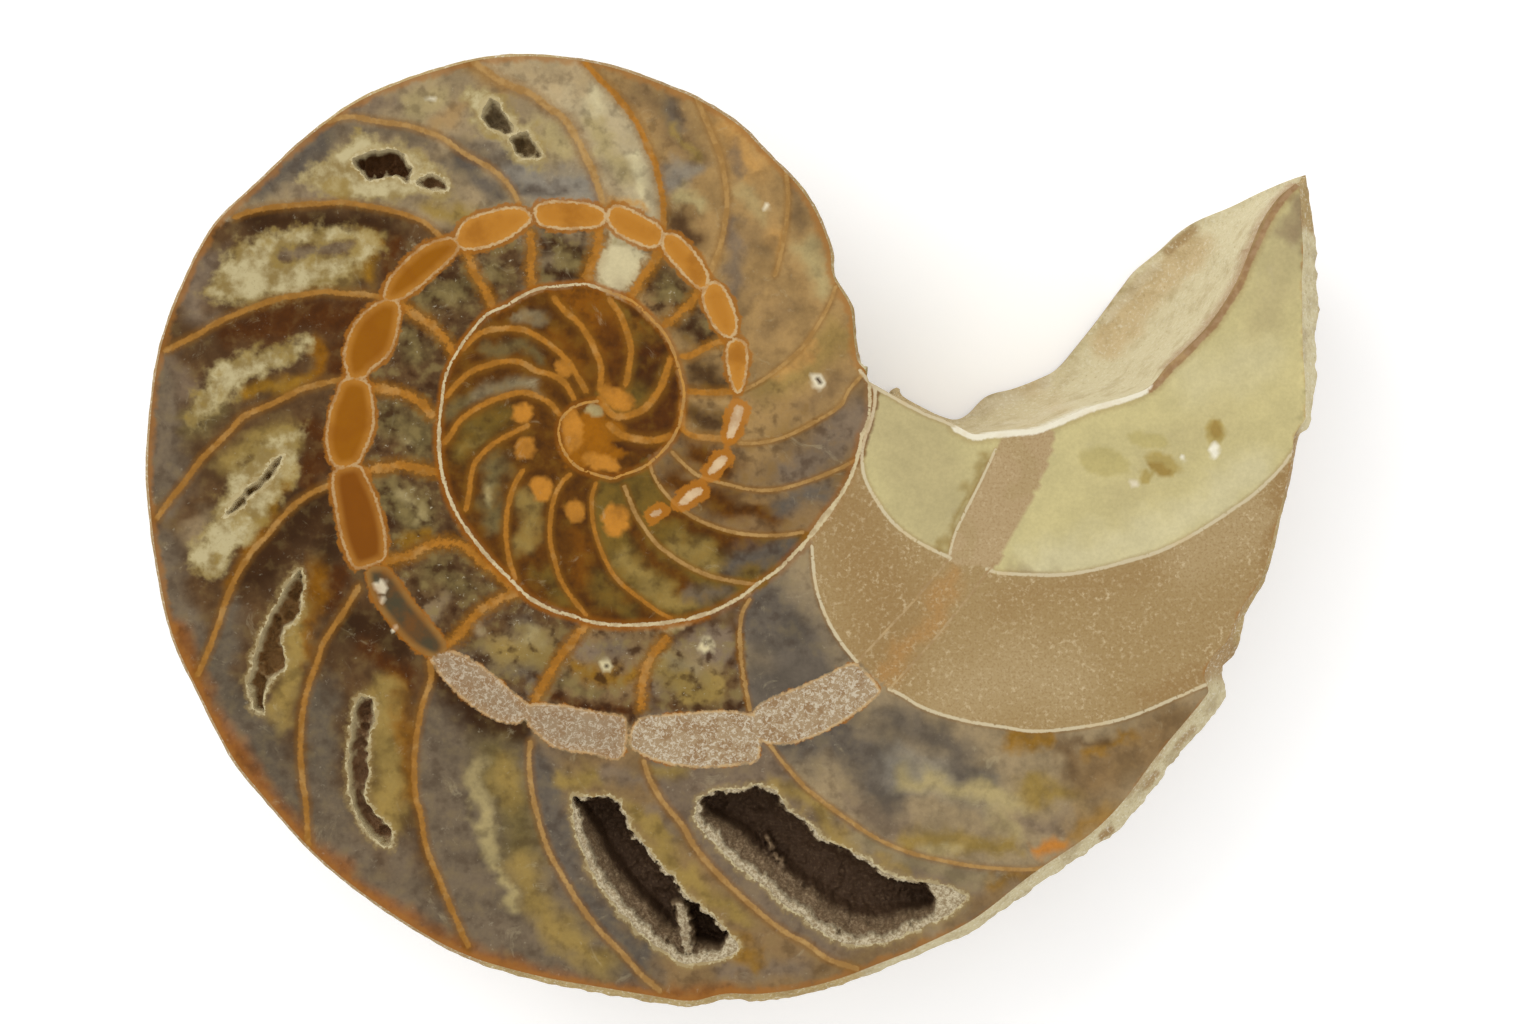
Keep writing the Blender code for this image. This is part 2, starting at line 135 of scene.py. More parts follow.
camera = bpy.data.objects.new("camera", bpy.data.cameras.new("camera"))
camera.data.lens = CAMERA_LENS
camera.data.sensor_width = CAMERA_SENSOR
camera.location = CAMERA_PLACE
bpy.context.scene.collection.objects.link(camera)
bpy.context.scene.camera = camera
bpy.context.scene.view_settings.view_transform = "Standard"

# The polished face.
# Sawn calcite, shell and hardened sediment, ground flat and polished, all flush in one plane: the fillings
# of the chambers in brown, gold and grey, their orange walls, the white shell wall and the linking tube.

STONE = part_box("fossil_half")
LENGTH = STONE[1].x - STONE[0].x
FACE_HEIGHT = STONE[1].z

# Places on the photograph, in its own pixels, counted from its top left corner.
# The edge runs from the inner end of the coil, over the top and the left, to the tip.
OUTER_EDGE_PX = [
    (868, 366), (861, 362), (857, 337), (853, 305), (836, 275), (833, 248), (820, 214), (800, 183),
    (763, 145), (740, 122), (700, 97), (660, 80), (620, 66), (580, 57), (530, 52.5), (480, 56), (440, 66),
    (400, 79), (350, 102), (300, 139), (260, 177), (220, 214), (200, 243), (180, 284), (160, 337),
    (150, 390), (144.5, 460), (147, 510), (155, 570), (170, 637), (200, 702), (230, 759), (260, 797),
    (310, 853), (360, 895), (420, 935), (460, 957), (500, 972), (560, 988), (640, 1002), (690, 1009),
    (725, 1002), (760, 1002), (800, 997), (840, 987), (885, 970), (920, 956), (980, 929), (1040, 887),
    (1100, 849), (1140, 812), (1180, 761), (1222, 710), (1230, 690), (1225, 671), (1240, 649),
    (1250, 610), (1268, 575), (1280, 528), (1291, 481), (1300, 438), (1312, 425), (1319, 384),
    (1321, 325), (1322, 262), (1317, 222), (1313, 190), (1310, 172),
]
# The rim of the last chamber wall, seen from above, from the coil to the tip
BOWL_RIM_PX = [
    (868, 366), (872, 377), (894, 387), (900, 381), (908, 379), (912, 388), (937, 402), (952, 409),
    (968, 413), (982, 407), (1002, 388), (1030, 380), (1056, 370), (1078, 358), (1102, 330), (1124, 302),
    (1146, 272), (1160, 254), (1184, 234), (1203, 216), (1221, 205), (1250, 194), (1279, 181),
    (1310, 172),
]
# The same wall where the saw cut it, on the polished face
BOWL_CUT_PX = [
    (869, 381), (890, 393), (908, 403), (926, 412), (944, 419), (958, 426), (975, 434), (998, 431),
    (1034, 428), (1052, 422), (1088, 407), (1124, 397), (1146, 389), (1156, 380), (1167, 366),
    (1182, 352), (1210, 323), (1236, 283), (1254, 240), (1264, 218), (1279, 197), (1296, 183),
]
# Width of the unpolished rim outside the face, in pixels, by angle around the coil
RIM_ANGLES = (14, 250, 268, 300, 318, 328, 338, 346, 358, 361, 366, 372, 378, 381)
RIM_WIDTHS_PX = (3, 3, 8, 8, 17, 21, 21, 5, 3, 9, 17, 20, 13, 12)
COIL_CENTRE_PX = (605, 430)
# Where the face reaches the corner beside the notch
FACE_CORNER_PX = (865.2, 369.2)

# The mouths of the two crystal hollows
LARGE_MOUTH_PX = [
    (697, 801), (718, 791), (745, 789), (763, 785), (778, 794), (790, 811), (803, 817), (822, 836),
    (848, 850), (866, 860), (884, 872), (906, 880), (930, 884), (950, 889), (966, 897), (952, 912),
    (928, 925), (906, 934), (880, 944), (854, 945), (830, 937), (810, 923), (790, 909), (770, 893),
    (750, 876), (730, 859), (708, 838), (697, 820),
]
SMALL_MOUTH_PX = [
    (572, 798), (590, 797), (612, 798), (624, 812), (632, 832), (646, 846), (658, 862), (673, 876),
    (684, 894), (700, 905), (714, 919), (731, 935), (738, 949), (724, 959), (702, 963), (682, 963),
    (664, 950), (644, 936), (624, 917), (608, 897), (594, 876), (582, 850), (575, 825),
]
# The mouths of the small pits, each with its depth in millimetres
PITS = {
    "top left pit": ([(352, 159), (365, 152), (382, 149), (399, 150), (407, 161), (413, 172), (407, 183),
        (396, 176), (383, 177), (369, 180), (357, 170)], 2.2),
    "pit beside it": ([(417, 183), (431, 173), (443, 178), (447, 188), (434, 190)], 1.2),
    "upper top pit": ([(488, 98), (496, 100), (503, 109), (511, 122), (513, 131), (498, 131), (487, 125),
        (480, 112)], 2.0),
    "lower top pit": ([(509, 138), (516, 133), (528, 130), (534, 141), (541, 154), (532, 159),
        (519, 156)], 2.0),
    "left crack": ([(282, 455), (278, 468), (266, 482), (253, 495), (239, 509), (224, 517), (233, 502),
        (247, 488), (260, 475), (271, 463)], 1.6),
    "lower left hollow": ([(301, 570), (303, 590), (296, 617), (284, 629), (281, 642), (285, 668),
        (270, 680), (263, 694), (264, 713), (254, 708), (248, 686), (251, 666), (256, 650), (262, 631),
        (270, 614), (281, 596), (290, 580)], 2.4),
    "lower hollow": ([(358, 697), (371, 700), (375, 717), (369, 736), (367, 760), (368, 776), (364, 794),
        (368, 806), (380, 820), (392, 836), (384, 846), (364, 828), (353, 806), (350, 796), (348, 768),
        (350, 741), (353, 720)], 2.4),
}

# The white shell wall of the coil, from its outer end to the first chamber, and its way up to the open arm
SHELL_WALL_PX = [
    (861.6, 434), (858.5, 455), (849, 480), (837, 501), (822, 523), (803, 544), (779, 569), (757, 584),
    (742, 596), (711, 612), (681, 620), (650, 624), (619, 625), (592, 622), (573, 616), (549, 608.5),
    (527, 596), (512, 581), (490.5, 559.5), (473, 538), (461, 521), (451, 502), (443, 478), (439, 451),
    (439, 425), (441.6, 401), (446, 374), (458, 350), (473, 329), (487, 314), (506, 305), (523, 295),
    (540, 288), (564, 285), (586, 284), (602, 289), (619, 295), (634, 302), (650, 317), (665, 334),
    (674, 353), (680, 372), (684, 391), (682, 410), (679, 425), (670, 442), (655, 458), (641, 468),
    (624, 474), (612, 478), (595, 474), (576, 466), (564, 451), (559, 437), (560, 422), (569, 410),
    (583, 403), (598, 401),
]
COIL_TO_ARM_PX = [
    (869, 370), (870, 402), (868, 420), (863, 434), (859, 449), (854, 470), (843, 492), (832, 506),
    (818, 524), (800, 550),
]

# The chamber walls, youngest first. Each has its part from the coil's inner wall to the linking tube
# and its part from the tube to the outer edge; the old ones run in one piece.
CHAMBER_WALLS_PX = {
    "last": ([(860, 370), (872, 384), (890, 395), (908, 405), (926, 414), (944, 421), (954, 426)],
        [(1150, 390), (1160, 382), (1171, 369), (1186, 355), (1200, 340), (1214, 326), (1226, 308),
        (1240, 286), (1250, 261), (1259, 243), (1269, 221), (1283, 200), (1300, 182)]),
    "A": ([(874, 380), (875, 402), (870, 424), (865, 438), (862, 456), (865, 478), (876, 499), (890, 519),
        (908, 535), (926, 546), (951, 558)], [(987, 569), (1002, 573), (1052, 575), (1088, 571),
        (1124, 562), (1160, 551), (1196, 533), (1232, 510), (1257, 492), (1282, 467), (1299, 443)]),
    "B": ([(812, 546), (814, 572), (818, 594), (828, 620), (841, 642), (857, 662)], [(889, 689),
        (902, 695), (918, 705), (940, 714), (972, 722), (1004, 727), (1030, 731), (1058, 730),
        (1100, 724), (1132, 716), (1164, 703), (1196, 689), (1212, 681), (1226, 668)]),
    "C": ([(750, 599), (742, 614), (740, 636), (741, 658), (745, 684), (750, 710)], [(770, 745),
        (782, 761), (801, 783), (812, 793), (844, 817), (876, 838), (908, 852), (940, 860), (972, 866),
        (1004, 869), (1036, 869), (1062, 863)]),
    "D": ([(666, 639), (657, 649), (647, 665), (642, 684), (641, 706)], [(644, 761), (650, 780),
        (663, 802), (682, 825), (695, 847), (714, 870), (740, 895), (766, 918), (788, 934), (806, 943),
        (828, 959), (857, 969)]),
    "E": ([(586, 626), (577, 636), (564, 652), (551, 671), (542, 687), (535, 700)], [(530, 742),
        (529, 764), (532, 793), (538, 818), (548, 850), (564, 879), (580, 905), (599, 930), (622, 953),
        (641, 975), (660, 991)]),
    "F": ([(516, 593), (500, 599), (481, 610), (468, 623), (458, 636), (448, 644)], [(429, 661),
        (431, 677), (425, 696), (419, 720), (415, 747), (414, 773), (416, 800), (420, 812), (426, 847),
        (439, 879), (452, 911), (468, 946)]),
    "G": ([(512, 589), (509, 584), (495, 571), (479, 560), (466, 547), (450, 543), (429, 545), (410, 555),
        (386, 561)], [(358, 587), (346, 608), (333, 627), (322, 645), (317, 661), (309, 683), (303, 707),
        (301, 728), (300, 752), (302, 779), (305, 800), (308, 845)]),
    "H": ([(434, 472), (418, 468), (402, 465), (383, 467), (365, 471)], [(329, 485), (311, 493),
        (295, 504), (279, 520), (266, 536), (253, 549), (239, 571), (231, 587), (223, 608), (215, 632),
        (207, 653), (197, 675)]),
    "I": ([(431, 414), (418, 401), (402, 393), (386, 389), (373, 387)], [(343, 379), (327, 382),
        (301, 389), (277, 401), (258, 409), (242, 417), (231, 429), (215, 445), (199, 461), (183, 483),
        (170, 499), (157, 517)]),
    "J": ([(453, 353), (445, 339), (429, 323), (413, 313), (399, 302)], [(383, 297), (365, 294),
        (343, 293), (325, 291), (303, 294), (279, 298), (258, 305), (237, 313), (215, 323), (197, 334),
        (181, 342), (165, 350)]),
    "K": ([(492, 305), (485, 290), (475, 274), (466, 250)], [(442, 238), (426, 223), (407, 215),
        (386, 209), (365, 205), (343, 202), (317, 203), (290, 205), (269, 207), (250, 211), (234, 217)]),
    "L": ([(533, 286), (530, 271), (532, 252), (530, 233)], [(519, 203), (509, 185), (495, 171),
        (479, 161), (461, 151), (445, 139), (426, 131), (407, 125), (386, 122), (367, 119), (350, 116),
        (322, 121)]),
    "M": ([(588, 276), (593, 262), (598, 247), (599, 230)], [(603, 203), (599, 190), (593, 171),
        (585, 155), (577, 139), (564, 118), (548, 107), (532, 94), (516, 87), (500, 80), (490, 73),
        (474, 62)]),
    "N": ([(631, 295), (643, 276), (653, 262), (660, 250)], [(663, 227), (663, 203), (660, 185),
        (655, 163), (647, 145), (639, 126), (628, 110), (615, 94), (599, 78), (585, 62)]),
    "O": ([(665, 324), (672, 319), (686, 307), (701, 290)], [(709, 275), (713, 265), (721, 243),
        (725, 222), (727, 201), (725, 179), (721, 158), (713, 137), (705, 118), (697, 97)]),
    "P": ([(682, 356), (691, 355), (708, 346), (725, 340)], [(775, 275), (779, 262), (784, 238),
        (787, 217), (788, 190), (785, 166)]),
    "Q": ([(689, 391), (701, 392), (720, 392), (734, 391)], [(743, 390), (759, 382), (775, 371),
        (791, 358), (804, 345), (817, 326), (828, 307), (836, 286)]),
    "R": ([(682, 405), (682, 425), (686, 432), (696, 436), (715, 438), (734, 440)], [(739, 443),
        (754, 443), (773, 440), (791, 434), (816, 421), (840, 406), (849, 390), (863, 374)]),
    "S": ([], [(672, 452), (681, 461), (696, 474), (711, 480), (727, 484), (748, 489), (770, 490),
        (791, 486), (816, 478), (840, 468), (855, 460)]),
    "T": ([], [(650, 464), (653, 474), (662, 489), (675, 503), (690, 515), (708, 524), (733, 532),
        (757, 535), (782, 535), (803, 532)]),
    "U": ([], [(624, 486), (629, 498), (635, 513), (644, 527), (656, 543), (672, 556), (690, 567),
        (711, 576), (733, 581), (754, 584)]),
    "V": ([], [(596, 483), (592, 495), (592, 514), (595, 532), (601, 550), (610, 569), (622, 584),
        (641, 599), (659, 612), (671, 618)]),
    "W": ([], [(570, 474), (561, 483), (553, 501), (550, 523), (550, 541), (555, 562), (561, 581),
        (573, 599), (586, 615)]),
    "X": ([], [(523, 470), (515, 483), (509, 501), (506, 520), (506, 538), (509, 559), (515, 578)]),
    "Y": ([], [(528, 425), (514, 432), (502, 438), (490, 446), (478, 458), (472, 470), (469, 492),
        (466, 509)]),
    "Z": ([], [(559, 414), (550, 403), (535, 395), (521, 392), (504, 396), (490, 401), (473, 410),
        (458, 422), (451, 434), (444, 442)]),
    "AA": ([], [(574, 398), (564, 382), (550, 374), (535, 370), (521, 362), (504, 361), (487, 365),
        (470, 372), (456, 384), (446, 396)]),
    "BB": ([], [(586, 391), (578, 377), (569, 362), (557, 350), (545, 341), (528, 331), (511, 328),
        (492, 329), (478, 334), (463, 348)]),
    "CC": ([], [(600, 389), (601, 367), (595, 350), (588, 336), (578, 322), (564, 310), (554, 298)]),
    "DD": ([], [(626, 384), (629, 367), (631, 348), (626, 329), (619, 312), (610, 300)]),
    "EE": ([], [(599, 399), (616, 416), (643, 409), (661, 386), (670, 359)]),
    "FF": ([], [(609, 425), (625, 436), (652, 440), (670, 436)]),
}

# How each chamber wall looks: its finish and its width in pixels
WALL_LOOKS = {
    "band left": ("band edge", 2.5), "band right": ("band edge", 2.5), "arm line": ("pale wall", 2.6),
    "sugary edge": ("snow", 6.4), "last": ("pale wall", 3.4), "A": ("pale wall", 3.4),
    "B": ("pale wall", 3.2), "C": ("tan wall", 3.8), "D": ("tan wall", 5), "E": ("tan wall", 5),
    "F": ("rust wall", 5.5), "G": ("rust wall", 5.5), "H": ("rust wall", 5.5), "I": ("rust wall", 5.5),
    "J": ("rust wall", 5.5), "K": ("rust wall", 5), "L": ("tan wall", 5), "M": ("tan wall", 7),
    "N": ("orange wall", 6), "O": ("tan wall", 5), "P": ("tan wall", 4), "Q": ("tan wall", 3.5),
    "R": ("tan wall", 3.5), "S": ("tan wall", 3.5), "T": ("tan wall", 3.5), "U": ("tan wall", 4),
    "V": ("orange wall", 4), "W": ("orange wall", 4.5), "X": ("orange wall", 5), "Y": ("orange wall", 5),
    "Z": ("orange wall", 5.5), "AA": ("orange wall", 5.5), "BB": ("orange wall", 5.5),
    "CC": ("orange wall", 6), "DD": ("orange wall", 6), "EE": ("orange wall", 7),
    "FF": ("orange wall", 7),
}

# The linking tube, segment by segment: its finish and its outline
TUBE_PX = [
    ("amber fill", [(385, 297), (390, 280), (405, 262), (425, 246), (445, 239), (456, 241), (456, 250),
        (445, 262), (425, 280), (405, 295), (392, 300)]),
    ("orange fill", [(457, 240), (465, 222), (490, 212), (515, 208), (528, 213), (527, 222), (505, 238),
        (480, 247), (463, 247)]),
    ("orange fill", [(536, 208), (545, 203), (565, 202), (590, 205), (603, 212), (602, 222), (590, 226),
        (560, 227), (540, 222)]),
    ("orange fill", [(609, 213), (614, 207), (625, 208), (645, 218), (660, 228), (661, 240), (652, 246),
        (640, 243), (620, 233), (610, 222)]),
    ("orange fill", [(664, 237), (672, 234), (682, 240), (697, 257), (707, 275), (705, 285), (698, 286),
        (680, 268), (665, 250)]),
    ("orange fill", [(704, 293), (710, 284), (718, 284), (727, 295), (735, 318), (734, 333), (725, 335),
        (713, 322), (705, 303)]),
    ("orange fill", [(729, 345), (737, 340), (745, 345), (746, 365), (742, 385), (737, 391), (732, 380),
        (728, 360)]),
    ("amber fill", [(380, 302), (360, 318), (350, 335), (345, 355), (348, 372), (352, 378), (365, 375),
        (370, 368), (388, 352), (397, 325), (397, 303)]),
    ("amber fill", [(345, 380), (337, 395), (330, 415), (327, 440), (331, 458), (338, 466), (355, 463),
        (364, 448), (372, 425), (371, 400), (365, 382)]),
    ("deep amber fill", [(337, 470), (333, 482), (337, 510), (343, 540), (352, 562), (358, 567),
        (380, 560), (384, 552), (383, 530), (375, 500), (365, 478), (357, 466)]),
    ("dark tube", [(366, 572), (380, 566), (394, 574), (412, 600), (440, 634), (446, 648), (436, 658),
        (414, 648), (394, 628), (374, 600)]),
    ("sandy fill", [(432, 655), (450, 652), (470, 660), (495, 678), (520, 700), (530, 708), (522, 720),
        (505, 722), (480, 710), (455, 690), (438, 670)]),
    ("sandy fill", [(530, 706), (560, 706), (590, 712), (615, 716), (625, 722), (620, 757), (590, 752),
        (560, 748), (540, 735), (526, 718)]),
    ("light sandy fill", [(640, 720), (670, 716), (720, 712), (750, 716), (757, 725), (757, 758),
        (740, 763), (700, 766), (660, 760), (632, 745)]),
    ("light sandy fill", [(755, 712), (770, 700), (800, 688), (830, 674), (850, 665), (860, 668),
        (878, 690), (870, 700), (850, 715), (820, 732), (790, 742), (770, 742), (757, 735)]),
    ("white fill", [(741, 405), (743, 411), (737, 429), (731, 438), (727, 436), (730, 422), (735, 407)]),
    ("white fill", [(725, 455), (727, 460), (720, 468), (712, 474), (708, 472), (713, 463), (720, 456)]),
    ("white fill", [(700, 487), (702, 492), (693, 499), (684, 505), (678, 503), (682, 498), (691, 490)]),
    ("white fill", [(660, 509), (662, 512), (656, 516), (650, 516), (652, 512)]),
]

# The band of hardened sand that crosses the open arm, the pale streaks in it, and the lines beside it
ARM_BAND_PX = [
    (996, 449), (1004, 436), (1030, 432), (1054, 430), (1047, 467), (1032, 499), (1014, 532), (996, 566),
    (975, 566), (949, 560), (956, 532), (981, 481),
]
BAND_STREAKS_PX = [
    [(1012, 445), (1030, 455), (1026, 480), (1014, 492)],
    [(962, 516), (972, 530), (962, 548)],
]
BAND_LINES_PX = {
    "band left": [(857, 662), (885, 632), (918, 596), (951, 557)],
    "band right": [(889, 689), (925, 650), (960, 608), (994, 564)],
    "arm line": [(996, 449), (981, 481), (956, 532), (949, 560)],
    "sugary edge": [(956, 428), (975, 436.5), (998, 434), (1034, 431), (1052, 425), (1088, 410),
        (1122, 400), (1138, 394), (1150, 388)],
}
# For each kind of tube segment: how its outline shows, how sandy it is, and how orange the stone round it is
TUBE_LOOKS = {
    "orange fill": (0.7, 0.0, 1.0), "amber fill": (0.5, 0.0, 0.9), "deep amber fill": (0.5, 0.0, 0.9),
    "white fill": (0.0, 0.0, 1.45), "dark tube": (0.0, 0.0, 0.3), "sandy fill": (0.5, 0.75, 0.1),
    "light sandy fill": (0.6, 1.0, 0.1),
}
# The line down the middle of the linking tube, round the older turns
TUBE_RING_PX = [
    (870, 680), (800, 715), (700, 740), (580, 732), (480, 690), (410, 620), (365, 530), (350, 420),
    (368, 340), (420, 265), (490, 230), (565, 214), (635, 225), (690, 262), (722, 310), (738, 365),
    (735, 420), (716, 465), (690, 500), (660, 560), (700, 610), (760, 640),
]

# Patches of pale crust around the openings, each with its outline
PALE_CRUSTS_PX = [
    [(297, 177), (312, 167), (338, 148), (356, 134), (380, 139), (397, 146), (425, 153), (444, 172),
        (450, 188), (446, 200), (425, 193), (401, 198), (366, 203), (335, 198), (305, 184)],
    [(205, 296), (222, 266), (234, 246), (262, 234), (290, 229), (326, 226), (366, 231), (380, 243),
        (375, 257), (352, 268), (342, 281), (309, 290), (262, 302), (231, 302)],
    [(190, 420), (191, 408), (198, 389), (217, 363), (241, 354), (271, 347), (295, 340), (309, 337),
        (304, 352), (286, 366), (262, 374), (244, 386), (228, 398), (212, 412), (198, 424)],
    [(189, 556), (199, 539), (212, 518), (223, 495), (231, 472), (248, 455), (267, 438), (294, 425),
        (303, 427), (298, 446), (296, 469), (286, 488), (273, 505), (260, 530), (244, 545), (229, 560),
        (220, 575), (208, 581), (197, 572)],
    [(466, 92), (480, 90), (498, 92), (510, 104), (518, 122), (530, 122), (540, 136), (546, 156),
        (534, 164), (514, 162), (504, 146), (490, 136), (478, 128), (470, 110)],
]

# Finishes by name, as they look on the stone: red, green and blue from 0 to 255
FINISHES = {
    "sediment": (162, 136, 93), "dark sediment": (154, 125, 82), "light sediment": (172, 148, 107),
    "khaki": (196, 183, 131), "dull khaki": (182, 168, 122), "pale khaki": (204, 193, 150),
    "grey tan": (150, 130, 98), "tan": (159, 127, 81), "orange tan": (184, 140, 80),
    "olive": (110, 94, 58), "olive grey": (138, 122, 90), "pale olive": (168, 150, 104),
    "olive gold": (146, 121, 66), "gold": (142, 102, 32), "amber": (130, 84, 20),
    "orange stain": (182, 120, 54), "brown": (130, 104, 70), "umber": (90, 66, 42),
    "red brown": (80, 47, 22), "dark umber": (62, 42, 26), "grey haze": (110, 95, 76),
    "mauve grey": (122, 104, 84), "blue grey": (136, 127, 112), "dark grey": (98, 86, 70),
    "slate": (98, 88, 76), "cream": (204, 190, 148), "dull cream": (174, 157, 122),
    "pale wall": (206, 192, 158), "tan wall": (172, 134, 80), "rust wall": (162, 114, 52),
    "orange wall": (172, 114, 42), "mauve wall": (164, 132, 98), "band edge": (178, 152, 112),
    "stain": (180, 130, 72), "arm gold": (172, 152, 92), "arm patch": (182, 168, 112),
    "snow": (238, 231, 208), "light tan": (174, 152, 114), "slit brown": (118, 100, 76),
    "orange fill": (180, 120, 46), "amber fill": (146, 90, 16), "deep amber fill": (124, 72, 12),
    "dark tube": (76, 68, 50), "sandy fill": (152, 130, 102), "light sandy fill": (162, 138, 106),
    "arm band": (176, 151, 112), "white": (214, 202, 172), "white fill": (222, 208, 176),
    "deep brown": (94, 58, 18), "deep olive": (108, 85, 38), "deep amber": (122, 74, 12),
    "rim orange": (144, 86, 34), "crystal gold": (158, 132, 72),
}

